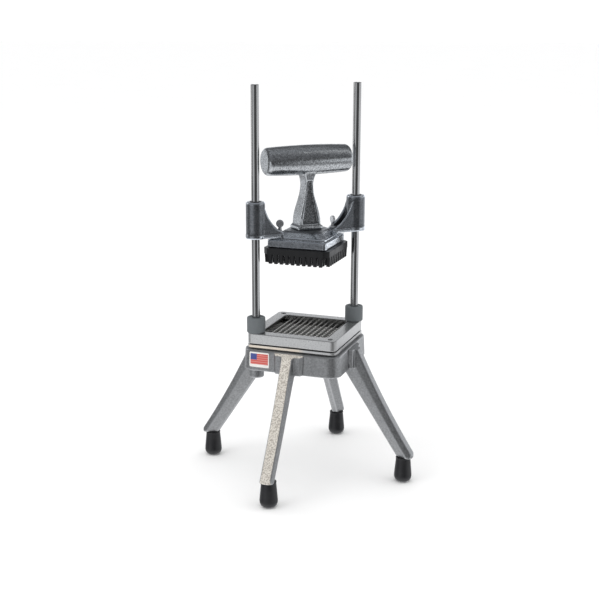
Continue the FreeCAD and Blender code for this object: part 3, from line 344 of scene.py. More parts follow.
def spline_ring(curve, points, radius, steps=8):
    """Closed rounded outline in a flat curve."""
    corners = []
    count = len(points)
    for index in range(count):
        corner = Vector(points[index])
        before = (Vector(points[index - 1]) - corner).normalized()
        after = (Vector(points[(index + 1) % count]) - corner).normalized()
        half_turn = before.angle(after) / 2
        centre = corner + (before + after).normalized() * (radius / math.sin(half_turn))
        start = corner + before * (radius / math.tan(half_turn)) - centre
        sweep = math.pi - 2 * half_turn
        turn = 1 if before.cross(after) < 0 else -1
        for step in range(steps + 1):
            corners.append(centre + Matrix.Rotation(turn * sweep * step / steps, 2) @ start)
    spline = curve.splines.new("POLY")
    spline.points.add(len(corners) - 1)
    for point, corner in zip(spline.points, corners):
        point.co = (corner.x, corner.y, 0, 1)
    spline.use_cyclic_u = True


def circle_ring(curve, x, y, radius):
    """Closed circle in a flat curve."""
    spline = curve.splines.new("POLY")
    spline.points.add(HOLE_STEPS - 1)
    for index, point in enumerate(spline.points):
        angle = 2 * math.pi * index / HOLE_STEPS
        point.co = (x + radius * math.cos(angle), y + radius * math.sin(angle), 0, 1)
    spline.use_cyclic_u = True


def square(half):
    """Corners of a square round the origin."""
    return [(half, -half), (half, half), (-half, half), (-half, -half)]


def flat_curve(name, thickness, edge):
    """Empty filled curve that becomes a flat plate with eased edges."""
    curve = bpy.data.curves.new(name, "CURVE")
    curve.dimensions = "2D"
    curve.fill_mode = "BOTH"
    curve.extrude = thickness / 2 - edge
    curve.bevel_depth = edge
    curve.bevel_resolution = 2
    curve.offset = -edge
    return curve


def plate_mesh(name, curve, bottom, top):
    """Plain mesh of a flat curve, moved to its height."""
    mesh = plain_mesh(link(bpy.data.objects.new(name + "_maker", curve)), name)
    mesh.transform(Matrix.Translation((0, 0, (top + bottom) / 2)))
    return mesh


def milled_ring(name, outer, outer_radius, window, holes, bottom, top, edge):
    """Square milled plate with a square window, round holes and eased edges."""
    curve = flat_curve(name, top - bottom, edge)
    spline_ring(curve, square(outer), outer_radius)
    spline_ring(curve, square(window), WINDOW_CORNER)
    for x, y, radius in holes:
        circle_ring(curve, x, y, radius)
    mesh = clean_mesh(plate_mesh(name, curve, bottom, top), 1e-6)
    smooth_faces(mesh, MILLED_SHARP)
    return mesh


def with_supports(profile):
    """Profile with extra points near the ends of its long runs, which keep the runs' shading straight."""
    result = []
    for start, end in zip(profile, profile[1:]):
        start, end = Vector(start), Vector(end)
        result.append(tuple(start))
        run = end - start
        if run.length > 4 * SUPPORT_GAP:
            result.append(tuple(start + run.normalized() * SUPPORT_GAP))
            result.append(tuple(end - run.normalized() * SUPPORT_GAP))
    result.append(tuple(profile[-1]))
    return result


def lathe_mesh(name, profile, place):
    """Closed shape turned about an upright axis from (radius, height) points."""
    worker = bmesh.new()
    rings = []
    for radius, height in with_supports(profile):
        if radius < 1e-7:
            rings.append([worker.verts.new((place[0], place[1], height))])
            continue
        ring = []
        for index in range(TURNED_STEPS):
            angle = 2 * math.pi * index / TURNED_STEPS
            ring.append(worker.verts.new((place[0] + radius * math.cos(angle),
                                          place[1] + radius * math.sin(angle), height)))
        rings.append(ring)
    pairs = list(zip(rings, rings[1:]))
    if len(rings[0]) > 1:
        pairs.append((rings[-1], rings[0]))
    for lower, upper in pairs:
        for index in range(TURNED_STEPS):
            following = (index + 1) % TURNED_STEPS
            if len(lower) == 1:
                worker.faces.new((lower[0], upper[index], upper[following]))
            elif len(upper) == 1:
                worker.faces.new((lower[index], lower[following], upper[0]))
            else:
                worker.faces.new((lower[index], lower[following], upper[following], upper[index]))
    bmesh.ops.recalc_face_normals(worker, faces=worker.faces)
    mesh = bpy.data.meshes.new(name)
    worker.to_mesh(mesh)
    worker.free()
    smooth_faces(mesh, TURNED_SHARP)
    return mesh


def turned_piece(node, profile, place, slot_name):
    """Turned piece of the base that stands for one frame node."""
    mesh = lathe_mesh(node, profile, place)
    return new_piece(node + "_looks", mesh, finish_for(slot_name), "base", [node])


def rounded_profile(points, radius, steps=4):
    """Profile with its corners replaced by short arcs; the two end points stay."""
    result = [points[0]]
    for before, corner, after in zip(points, points[1:], points[2:]):
        corner = Vector(corner)
        back = Vector(before) - corner
        ahead = Vector(after) - corner
        reach = min(radius, back.length * 0.45, ahead.length * 0.45)
        start = corner + back.normalized() * reach
        end = corner + ahead.normalized() * reach
        for step in range(steps + 1):
            share = step / steps
            near = start.lerp(corner, share)
            far = corner.lerp(end, share)
            result.append(tuple(near.lerp(far, share)))
    result.append(points[-1])
    return result


# Shared effects for the materials

def new_group(name, inputs, outputs):
    """Empty shader node group with named float inputs and outputs."""
    group = bpy.data.node_groups.new(name, "ShaderNodeTree")
    for label, default in inputs:
        socket = group.interface.new_socket(label, in_out="INPUT", socket_type="NodeSocketFloat")
        socket.default_value = default
    for label in outputs:
        group.interface.new_socket(label, in_out="OUTPUT", socket_type="NodeSocketFloat")
    source = group.nodes.new("NodeGroupInput")
    sink = group.nodes.new("NodeGroupOutput")
    return group, source, sink


def add(tree, kind, **values):
    """Adds a node and sets its plain properties."""
    node = tree.nodes.new(kind)
    for name, value in values.items():
        setattr(node, name, value)
    return node


def noise(tree, vector, scale, detail=3.0, roughness=0.55):
    """Noise texture on a vector; the scale is a number or a socket."""
    node = add(tree, "ShaderNodeTexNoise")
    node.inputs["Detail"].default_value = detail
    node.inputs["Roughness"].default_value = roughness
    tree.links.new(vector, node.inputs["Vector"])
    if isinstance(scale, (int, float)):
        node.inputs["Scale"].default_value = scale
    else:
        tree.links.new(scale, node.inputs["Scale"])
    return node.outputs["Fac"]


def remap(tree, value, low, high, new_low, new_high):
    """Value moved from one range to another, clamped."""
    node = add(tree, "ShaderNodeMapRange")
    for label, number in (("From Min", low), ("From Max", high), ("To Min", new_low), ("To Max", new_high)):
        node.inputs[label].default_value = number
    tree.links.new(value, node.inputs["Value"])
    return node.outputs["Result"]


def combine(tree, operation, first, second):
    """Two values, sockets or numbers, put together."""
    node = add(tree, "ShaderNodeMath", operation=operation)
    for socket, value in zip(node.inputs, (first, second)):
        if isinstance(value, (int, float)):
            socket.default_value = value
        else:
            tree.links.new(value, socket)
    return node.outputs[0]


def cast_grain_group():
    """Fine grain, pits and bright specks of a sand or die casting."""
    group, source, sink = new_group(
        "Cast Grain", [("Grain Scale", 900.0), ("Mottle Scale", 60.0), ("Speck Scale", 1400.0)],
        ["Height", "Mottle", "Specks"])
    place = add(group, "ShaderNodeTexCoord").outputs["Object"]
    grain = noise(group, place, source.outputs["Grain Scale"], 4.0, 0.65)
    mottle = noise(group, place, source.outputs["Mottle Scale"], 3.0, 0.6)
    specks = noise(group, place, source.outputs["Speck Scale"], 1.0, 0.5)
    group.links.new(combine(group, "ADD", grain, times(group, mottle, 0.6)), sink.inputs["Height"])
    group.links.new(mottle, sink.inputs["Mottle"])
    group.links.new(remap(group, specks, 0.58, 0.68, 0.0, 1.0), sink.inputs["Specks"])
    return group


def hand_polish_group():
    """Slow waves and smudges left by polishing a casting by hand."""
    group, source, sink = new_group(
        "Hand Polish", [("Wave Scale", 70.0), ("Smudge Scale", 240.0)], ["Height", "Smudge"])
    place = add(group, "ShaderNodeTexCoord").outputs["Object"]
    waves = noise(group, place, source.outputs["Wave Scale"], 2.0, 0.45)
    smudge = noise(group, place, source.outputs["Smudge Scale"], 5.0, 0.7)
    group.links.new(combine(group, "ADD", waves, times(group, smudge, 0.16)), sink.inputs["Height"])
    group.links.new(remap(group, smudge, 0.38, 0.66, 0.0, 1.0), sink.inputs["Smudge"])
    return group


def drawn_lines_group():
    """Fine parallel lines left by grinding, along Z, X or Y by the stretch of the pattern."""
    group, source, sink = new_group(
        "Drawn Lines", [("Across X", 3000.0), ("Across Y", 3000.0), ("Across Z", 40.0)], ["Height", "Streak"])
    place = add(group, "ShaderNodeTexCoord").outputs["Object"]
    stretch = vector_of(group, x=source.outputs["Across X"], y=source.outputs["Across Y"],
                        z=source.outputs["Across Z"])
    scaled = add(group, "ShaderNodeVectorMath", operation="MULTIPLY")
    group.links.new(place, scaled.inputs[0])
    group.links.new(stretch, scaled.inputs[1])
    lines = noise(group, scaled.outputs[0], 1.0, 3.0, 0.6)
    group.links.new(lines, sink.inputs["Height"])
    group.links.new(remap(group, lines, 0.35, 0.65, 0.0, 1.0), sink.inputs["Streak"])
    return group


def moulded_skin_group():
    """Fine leathery skin of moulded rubber and plastic, with patches of dust."""
    group, source, sink = new_group(
        "Moulded Skin", [("Skin Scale", 1600.0), ("Dust Scale", 90.0)], ["Height", "Dust"])
    place = add(group, "ShaderNodeTexCoord").outputs["Object"]
    skin = noise(group, place, source.outputs["Skin Scale"], 2.0, 0.5)
    dust = noise(group, place, source.outputs["Dust Scale"], 5.0, 0.65)
    group.links.new(skin, sink.inputs["Height"])
    group.links.new(remap(group, dust, 0.45, 0.75, 0.0, 1.0), sink.inputs["Dust"])
    return group


def edge_wear_and_highlight_group():
    """Outer edges made bright: partly wear, partly a painted highlight."""
    group, source, sink = new_group("Edge Wear And Highlight", [("Edge Start", 0.508), ("Edge End", 0.535)], ["Edges"])
    part = add(group, "ShaderNodeMapRange")
    group.links.new(add(group, "ShaderNodeNewGeometry").outputs["Pointiness"], part.inputs["Value"])
    group.links.new(source.outputs["Edge Start"], part.inputs["From Min"])
    group.links.new(source.outputs["Edge End"], part.inputs["From Max"])
    group.links.new(part.outputs["Result"], sink.inputs["Edges"])
    return group


EFFECTS = {}
FINISHES = {}


def effect(tree, name, **inputs):
    """Places a shared effect in a material, with its own values."""
    if name not in EFFECTS:
        makers = {"Cast Grain": cast_grain_group, "Hand Polish": hand_polish_group,
                  "Drawn Lines": drawn_lines_group, "Moulded Skin": moulded_skin_group,
                  "Edge Wear And Highlight": edge_wear_and_highlight_group}
        EFFECTS[name] = makers[name]()
    node = add(tree, "ShaderNodeGroup")
    node.node_tree = EFFECTS[name]
    for label, value in inputs.items():
        node.inputs[label.replace("_", " ").title()].default_value = value
    return node.outputs


def start_finish(name, metallic):
    """New material with a plain shader; returns it, its tree and its shader."""
    material = bpy.data.materials.new(name)
    material.use_nodes = True
    shader = material.node_tree.nodes["Principled BSDF"]
    shader.inputs["Metallic"].default_value = metallic
    return material, material.node_tree, shader


def mix(tree, mask, first, second):
    """Colour that goes from the first to the second with a mask; each is a colour or a socket."""
    node = add(tree, "ShaderNodeMix", data_type="RGBA")
    tree.links.new(mask, node.inputs[0])
    for socket, value in zip((node.inputs[6], node.inputs[7]), (first, second)):
        if isinstance(value, tuple):
            socket.default_value = (*value, 1)
        else:
            tree.links.new(value, socket)
    return node.outputs[2]


def vector_of(tree, **parts):
    """Vector socket with the parts given; the others are 0."""
    node = add(tree, "ShaderNodeCombineXYZ")
    for axis, value in parts.items():
        tree.links.new(value, node.inputs[axis.upper()])
    return node.outputs[0]


def times(tree, first, *others):
    """Product of values, sockets or numbers."""
    for value in others:
        first = combine(tree, "MULTIPLY", first, value)
    return first


def size_of(tree, value):
    """Value without its sign."""
    return combine(tree, "ABSOLUTE", value, 0.0)


def parts_of(tree, vector):
    """X, Y and Z of a vector socket."""
    node = add(tree, "ShaderNodeSeparateXYZ")
    tree.links.new(vector, node.inputs[0])
    return [node.outputs[axis] for axis in "XYZ"]


def place_of(tree):
    """X, Y and Z of the place on the piece."""
    return parts_of(tree, add(tree, "ShaderNodeTexCoord").outputs["Object"])


def facing_of(tree):
    """X, Y and Z of the way that the surface faces."""
    return parts_of(tree, add(tree, "ShaderNodeNewGeometry").outputs["Normal"])


def strip_mask(tree, value, low, high):
    """1 where a value lies between two numbers."""
    return times(tree, combine(tree, "GREATER_THAN", value, low), combine(tree, "LESS_THAN", value, high))


def end_finish(finish, colour, rough, height, strength, depth, metallic=None):
    """Feeds a started finish and bumps its surface by a height; returns its material."""
    material, tree, shader = finish
    for value, label in ((colour, "Base Color"), (rough, "Roughness"), (metallic, "Metallic")):
        if value is not None:
            tree.links.new(value, shader.inputs[label])
    node = add(tree, "ShaderNodeBump")
    node.inputs["Strength"].default_value = strength
    node.inputs["Distance"].default_value = depth
    tree.links.new(height, node.inputs["Height"])
    tree.links.new(node.outputs["Normal"], shader.inputs["Normal"])
    return material


def shade(tone, factor):
    """Tone made brighter or darker."""
    return tuple(min(1.0, channel * factor) for channel in tone)


def cast_finish(name, tone, roughness, contrast, specks):
    """Satin cast aluminium with a sandy grain."""
    finish = start_finish(name, 1.0)
    return end_finish(finish, *cast_surface(finish[1], tone, roughness, contrast, specks), 0.5, GRAIN_DEPTH)


def cast_surface(tree, tone, roughness, contrast, specks):
    """Colour, roughness and height of a sandy casting whose edges are brightened by wear and a painted
    highlight.
    """
    grain = effect(tree, "Cast Grain", grain_scale=GRAIN_SCALE, mottle_scale=GRAIN_SCALE * 0.55)
    edge_wear_and_highlight = effect(tree, "Edge Wear And Highlight")
    colour = mix(tree, remap(tree, grain["Mottle"], *MOTTLE_RANGE, 0, 1),
                 shade(tone, 1 - contrast), shade(tone, 1 + contrast))
    if specks:
        colour = mix(tree, times(tree, grain["Specks"], specks), colour, shade(tone, 1.8))
    # Edges brightened: partly wear, partly a painted highlight
    colour = mix(tree, times(tree, edge_wear_and_highlight["Edges"], 0.8), colour, shade(tone, 1.5))
    rough = remap(tree, grain["Height"], 0.5, 1.1, roughness - 0.06, roughness + 0.1)
    return colour, rough, grain["Height"]


def polished_finish(name, tone, roughness, wave_scale, depth, edge, edge_gloss, mottle,
                    region=None, region_tone_and_painted_light=0.45, region_rough=0.2, edge_from=0.508):
    """Cast aluminium polished by hand: slow waves, a fine grain, edges brightened by wear and a painted
    highlight, and smudges.

    A region is a mask where the surface has another gloss and, as painted light or shade, another brightness.
    """
    finish = start_finish(name, 1.0)
    tree = finish[1]
    polish = effect(tree, "Hand Polish", wave_scale=wave_scale)
    grain = effect(tree, "Cast Grain", grain_scale=FINE_GRAIN_SCALE, mottle_scale=FINE_MOTTLE_SCALE)
    edge_wear_and_highlight = effect(tree, "Edge Wear And Highlight", edge_start=edge_from)
    spots = remap(tree, grain["Mottle"], *MOTTLE_RANGE, 0, 1)
    colour = mix(tree, spots, shade(tone, 1 - mottle), shade(tone, 1 + mottle))
    rough = remap(tree, polish["Smudge"], 0, 1, roughness - 0.05, roughness + 0.08)
    if region:
        inside = region(tree)
        # The region's colours: the tone made brighter or darker as painted light or shade
        dark, pale = (shade(tone, region_tone_and_painted_light * (1 + sign * 1.6 * mottle)) for sign in (-1, 1))
        colour = mix(tree, inside, colour, mix(tree, spots, dark, pale))
        rough = combine(tree, "ADD", rough, times(tree, inside, region_rough))
    # Edges brightened: partly wear, partly a painted highlight
    colour = mix(tree, edge_wear_and_highlight["Edges"], colour, shade(tone, edge))
    rough = combine(tree, "SUBTRACT", rough, times(tree, edge_wear_and_highlight["Edges"], edge_gloss))
    height = combine(tree, "ADD", polish["Height"], times(tree, grain["Height"], 0.2))
    return end_finish(finish, colour, combine(tree, "MAXIMUM", rough, 0.1), height, 0.6, depth)


def plate_painted_light_mask(tree):
    """1 on the tops and the right side of the head's plate and dome, which are glossier and painted brighter
    as painted light.
    """
    facing = facing_of(tree)
    low = remap(tree, place_of(tree)[2], ARM_FLOOR - MASK_FADE, ARM_FLOOR + MASK_FADE, 1, 0)
    upward = remap(tree, facing[2], 0.2, 0.4, 0, 1)
    rightward = remap(tree, facing[0], 0.4, 0.7, 0, 1)
    return times(tree, low, combine(tree, "MAXIMUM", upward, rightward))


def frame_finish(tone, window, edge_top):
    """Sandy blade frame; its glossy window walls and its right side are darker as painted shade.

    The lower plate's front edge, below edge_top, carries a painted warm reflection at the left.
    """
    finish = start_finish("Frame Casting", 1.0)
    tree = finish[1]
    colour, rough, height = cast_surface(tree, tone, 0.3, 0.42, 0.5)
    x, y, z = place_of(tree)
    facing = facing_of(tree)
    reach = combine(tree, "MAXIMUM", size_of(tree, x), size_of(tree, y))
    # The window walls are darker: painted shade inside the opening
    inside = remap(tree, reach, window, window + 0.4 * MM, 1, 0)
    colour = mix(tree, inside, colour, shade(tone, 0.75))
    rough = times(tree, rough, remap(tree, inside, 0, 1, 1.0, 0.25))
    # The right side is darker: painted shade
    colour = mix(tree, remap(tree, facing[0], 0.5, 0.8, 0, 0.4), colour, shade(tone, 0.35))
    # Warm pale painted reflection on the lower plate's front edge at the left, less metallic
    painted_reflection = times(tree, remap(tree, facing[1], -0.9, -0.7, 1, 0), combine(tree, "LESS_THAN", z, edge_top),
                  remap(tree, x, *PAINTED_REFLECTION_FADE, 1, 0))
    colour = mix(tree, painted_reflection, colour, (0.8, 0.72, 0.62))
    return end_finish(finish, colour, rough, height, 0.5, GRAIN_DEPTH, remap(tree, painted_reflection, 0, 1, 1.0, 0.4))


def stem_pocket_painted_shade_mask(tree):
    """1 on the floor of the pocket in the stem's broad faces, which stays rougher as cast and is painted
    darker as shade in the recess.
    """
    place, facing = place_of(tree), facing_of(tree)
    across, turned = (times(tree, size_of(tree, combine(tree, "SUBTRACT", x, y)), math.sqrt(0.5))
                      for x, y, _ in (place, facing))
    deep = remap(tree, across, POCKET_FLOOR, POCKET_FLOOR + 1.2 * MM, 1, 0)
    outward = remap(tree, turned, 0.55, 0.8, 0, 1)
    return times(tree, deep, outward, combine(tree, "LESS_THAN", place[2], POCKET_TOP))


def drawn_finish(name, tone, roughness, sideways, upward, depth=0.01 * MM):
    """Ground or drawn steel with fine parallel lines."""
    finish = start_finish(name, 1.0)
    tree = finish[1]
    lines = effect(tree, "Drawn Lines", across_x=sideways, across_y=sideways, across_z=upward)
    colour = mix(tree, lines["Streak"], shade(tone, 0.86), shade(tone, 1.1))
    rough = remap(tree, lines["Streak"], 0, 1, roughness - 0.05, roughness + 0.08)
    return end_finish(finish, colour, rough, lines["Height"], 0.4, depth)


def blade_finish(tone, edge_height):
    """Strip steel whose flanks are painted dark as shade and whose ground cutting edges are bright, partly as
    polish and partly as a painted highlight that is stronger on the lower set.
    """
    finish = start_finish("Blade Steel", 1.0)
    tree = finish[1]
    lines = effect(tree, "Drawn Lines", across_x=60.0, across_y=60.0, across_z=2600.0)
    z = place_of(tree)[2]
    masks = [strip_mask(tree, z, top - edge_height, top + 0.05 * MM)
             for top in (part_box("upper_blades")[1][2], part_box("upper_blades")[0][2] + BLADE_STEP)]
    # Flanks painted dark as shade; edge tops painted bright, the lower set brighter as painted light
    flank_painted_shade = mix(tree, lines["Streak"], shade(tone, 0.32), shade(tone, 0.5))
    colour = mix(tree, masks[1], mix(tree, masks[0], flank_painted_shade, shade(tone, 0.72)), shade(tone, 1.35))
    rough = remap(tree, lines["Streak"], 0, 1, 0.3, 0.42)
    metallic = remap(tree, combine(tree, "ADD", *masks), 0, 1, 1.0, 0.2)
    return end_finish(finish, colour, rough, lines["Height"], 0.4, 0.01 * MM, metallic)


def moulded_finish(name, tone, roughness, dust=0.1, specular=0.5):
    """Moulded rubber or plastic."""
    finish = start_finish(name, 0.0)
    tree = finish[1]
    finish[2].inputs["Specular IOR Level"].default_value = specular
    skin = effect(tree, "Moulded Skin")
    pale = tuple(channel * 0.6 + 0.12 for channel in tone)
    colour = mix(tree, times(tree, skin["Dust"], dust), tone, pale)
    rough = remap(tree, skin["Dust"], 0, 1, roughness - 0.05, roughness + 0.12)
    return end_finish(finish, colour, rough, skin["Height"], 0.35, 0.06 * MM)


def label_finish(low, high):
    """Printed film: white border and foot, a red field and a dark blue block, with no lettering."""
    finish = start_finish("Printed Label", 0.0)
    tree = finish[1]
    x, _, z = place_of(tree)
    left, top = low.x + LABEL_BORDER, high.z - LABEL_TOP
    field = times(tree, strip_mask(tree, x, left, high.x - LABEL_BORDER),
                  strip_mask(tree, z, low.z + LABEL_FOOT, top))
    block = times(tree, strip_mask(tree, x, left, left + BLOCK_WIDTH),
                  strip_mask(tree, z, low.z + BLOCK_FOOT, top))
    skin = effect(tree, "Moulded Skin", skin_scale=900.0)
    white = mix(tree, skin["Dust"], (0.78, 0.77, 0.74), (0.62, 0.61, 0.58))
    red = mix(tree, field, white, (0.56, 0.09, 0.07))
    waves = combine(tree, "SINE", times(tree, z, STRIPE_WAVES), 0.0)
    pale = times(tree, combine(tree, "GREATER_THAN", waves, 0.35), field, 0.35)
    red = mix(tree, pale, red, (0.7, 0.5, 0.48))
    colour = mix(tree, block, red, (0.05, 0.07, 0.25))
    rough = remap(tree, skin["Dust"], 0, 1, 0.28, 0.42)
    return end_finish(finish, colour, rough, skin["Height"], 0.1, 0.02 * MM)


def front_leg_painted_reflection_finish(tone):
    """Sandy casting whose narrow outer face and top bevel carry a painted reflection: pale, warm, evenly
    speckled and less metallic.
    """
    finish = start_finish("Leg With Painted Reflection", 1.0)
    tree = finish[1]
    colour, rough, height = cast_surface(tree, tone, 0.42, 0.2, 0.35)
    grain = effect(tree, "Cast Grain", grain_scale=GRAIN_SCALE, mottle_scale=FINE_MOTTLE_SCALE)
    painted_reflection = mix(tree, remap(tree, grain["Mottle"], 0.4, 0.56, 0, 1), (0.46, 0.42, 0.37), (0.82, 0.78, 0.71))
    place, facing = place_of(tree), facing_of(tree)
    outward = remap(tree, facing[1], -0.84, -0.72, 1, 0)
    strip = remap(tree, size_of(tree, place[0]), LEG_FACE_HALF, LEG_FACE_HALF + MASK_FADE, 1, 0)
    bevel = times(tree, remap(tree, facing[2], 0.25, 0.5, 0, 1),
                  combine(tree, "GREATER_THAN", place[2], PAD_BEVEL))
    face = combine(tree, "MAXIMUM", times(tree, outward, strip), bevel)
    rough = combine(tree, "ADD", rough, times(tree, face, 0.12))
    return end_finish(finish, mix(tree, face, colour, painted_reflection), rough, height, 0.5, GRAIN_DEPTH,
                      remap(tree, face, 0, 1, 1.0, 0.35))


def finish_for(slot_name):
    """The material of one of the record's slots, made once."""
    if slot_name in FINISHES:
        return FINISHES[slot_name]
    chosen = settings()
    metal, blades, rubber = chosen.castings, chosen.blades, chosen.rubber
    makers = {
        "base_metal": lambda: cast_finish("Satin Casting", tuple(metal.base_tone), 0.42, 0.2, 0.35),
        "frame_metal": lambda: frame_finish(
            tuple(blades.frame_tone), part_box("upper_blades")[1][1] - BLADE_SEAT,
            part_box("blade_frame_lower")[0][2] + PAINTED_REFLECTION_HEIGHT),
        # The head's plate and dome are painted brighter where they face up or to the right, as painted light
        "head_metal": lambda: polished_finish(
            "Polished Casting", tuple(metal.head_tone), 0.34, 70.0, 0.5 * MM,
            edge=4.4, edge_gloss=0.2, mottle=0.3, region=plate_painted_light_mask, region_tone_and_painted_light=3.2,
            region_rough=-0.16, edge_from=0.504),
        # The floor of the grip's stem pocket is painted darker, as painted shade in the recess
        "grip_metal": lambda: polished_finish(
            "Polished Grip", tuple(metal.grip_tone), 0.2, 85.0, 0.5 * MM,
            edge=1.8, edge_gloss=0.05, mottle=0.38, region=stem_pocket_painted_shade_mask),
        "paddle_metal": lambda: polished_finish(
            "Bright Plating", (0.72, 0.73, 0.75), 0.26, 220.0, 0.3 * MM,
            edge=1.3, edge_gloss=0.05, mottle=0.18),
        "rod_steel": lambda: drawn_finish("Rod Steel", (0.5, 0.5, 0.5), 0.13, 900.0, 25.0, 0.003 * MM),
        "blade_steel": lambda: blade_finish(tuple(blades.blade_tone), blades.edge_height),
        "screw_steel": lambda: drawn_finish("Screw Steel", (0.45, 0.45, 0.46), 0.26, 1800.0, 1800.0),
        "insert_brass": lambda: drawn_finish("Turned Brass", (0.62, 0.42, 0.14), 0.3, 400.0, 4000.0),
        "bearing_plastic": lambda: moulded_finish("Bearing Plastic", (0.03, 0.03, 0.033), 0.5),
        "pusher_plastic": lambda: moulded_finish(
            "Block Plastic", tuple(chosen.pusher.plastic_tone), 0.34, 0.06, specular=0.3),
        "bumper_rubber": lambda: moulded_finish("Bumper Rubber", tuple(rubber.bumper_tone), 0.55, 0.2),
        "foot_rubber": lambda: moulded_finish("Foot Rubber", tuple(rubber.foot_tone), 0.4),
    }
    FINISHES[slot_name] = makers[slot_name]()
    return FINISHES[slot_name]


def dress_node(node, finish):
    """Gives its finish to a frame node that stays."""
    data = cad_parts[node].data
    data.materials.clear()
    data.materials.append(finish)


# Trees for what repeats

def geometry_tree(name, inputs):
    """Empty geometry tree with named inputs; returns it, its inputs and its output."""
    tree = bpy.data.node_groups.new(name, "GeometryNodeTree")
    for label, kind, default in inputs:
        socket = tree.interface.new_socket(label, in_out="INPUT", socket_type="NodeSocket" + kind)
        if default is not None:
            socket.default_value = default
    tree.interface.new_socket("Geometry", in_out="OUTPUT", socket_type="NodeSocketGeometry")
    return tree, tree.nodes.new("NodeGroupInput").outputs, tree.nodes.new("NodeGroupOutput")


def end_tree(tree, sink, shape, material_socket):
    """Realizes the copies, sets their material and ends the tree."""
    real = add(tree, "GeometryNodeRealizeInstances")
    paint = add(tree, "GeometryNodeSetMaterial")
    tree.links.new(shape, real.inputs[0])
    tree.links.new(real.outputs[0], paint.inputs["Geometry"])
    tree.links.new(material_socket, paint.inputs["Material"])
    tree.links.new(paint.outputs[0], sink.inputs[0])


def run_tree(tree, name, values):
    """Plain mesh made by a tree with its inputs set by identifier."""
    maker = link(bpy.data.objects.new(name + "_maker", bpy.data.meshes.new(name + "_start")))
    modifier = maker.modifiers.new("Repeat", "NODES")
    modifier.node_group = tree
    for item in tree.interface.items_tree:
        if item.item_type == "SOCKET" and item.in_out == "INPUT" and item.name in values:
            modifier[item.identifier] = values[item.name]
    return plain_mesh(maker, name)


def blade_set_tree():
    """Row of ground blades: one sharpened strip along Y, standing on the ground, copied along X."""
    tree, given, sink = geometry_tree("Blade Set", [
        ("Count", "Int", 11), ("Pitch", "Float", 0.00688), ("Length", "Float", 0.09),
        ("Thickness", "Float", 0.00053), ("Height", "Float", 0.0056), ("Edge Height", "Float", 0.0011),
        ("Edge Share", "Float", 0.2), ("Material", "Material", None)])
    strip = add(tree, "GeometryNodeMeshCube")
    size = vector_of(tree, x=given["Thickness"], y=given["Length"], z=given["Height"])
    tree.links.new(size, strip.inputs["Size"])
    strip.inputs["Vertices Z"].default_value = 3
    x, y, z = parts_of(tree, add(tree, "GeometryNodeInputPosition").outputs[0])
    top = combine(tree, "GREATER_THAN", z, times(tree, given["Height"], 0.25))
    foot = combine(tree, "LESS_THAN", z, times(tree, given["Height"], -0.25))
    middle = combine(tree, "SUBTRACT", 1.0, combine(tree, "ADD", top, foot))
    lifted = times(tree, given["Height"], combine(tree, "SUBTRACT", 1.0, foot))
    height = combine(tree, "SUBTRACT", lifted, times(tree, given["Edge Height"], middle))
    narrowed = times(tree, top, combine(tree, "SUBTRACT", 1.0, given["Edge Share"]))
    across = times(tree, x, combine(tree, "SUBTRACT", 1.0, narrowed))
    ground = add(tree, "GeometryNodeSetPosition")
    tree.links.new(strip.outputs["Mesh"], ground.inputs["Geometry"])
    tree.links.new(vector_of(tree, x=across, y=y, z=height), ground.inputs["Position"])
    row = add(tree, "GeometryNodeMeshLine")
    tree.links.new(given["Count"], row.inputs["Count"])
    tree.links.new(vector_of(tree, x=given["Pitch"]), row.inputs["Offset"])
    span = times(tree, combine(tree, "SUBTRACT", given["Count"], 1.0), given["Pitch"])
    tree.links.new(vector_of(tree, x=times(tree, span, -0.5)), row.inputs["Start Location"])
    copies = add(tree, "GeometryNodeInstanceOnPoints")
    tree.links.new(row.outputs[0], copies.inputs["Points"])
    tree.links.new(ground.outputs[0], copies.inputs["Instance"])
    end_tree(tree, sink, copies.outputs[0], given["Material"])
    return tree


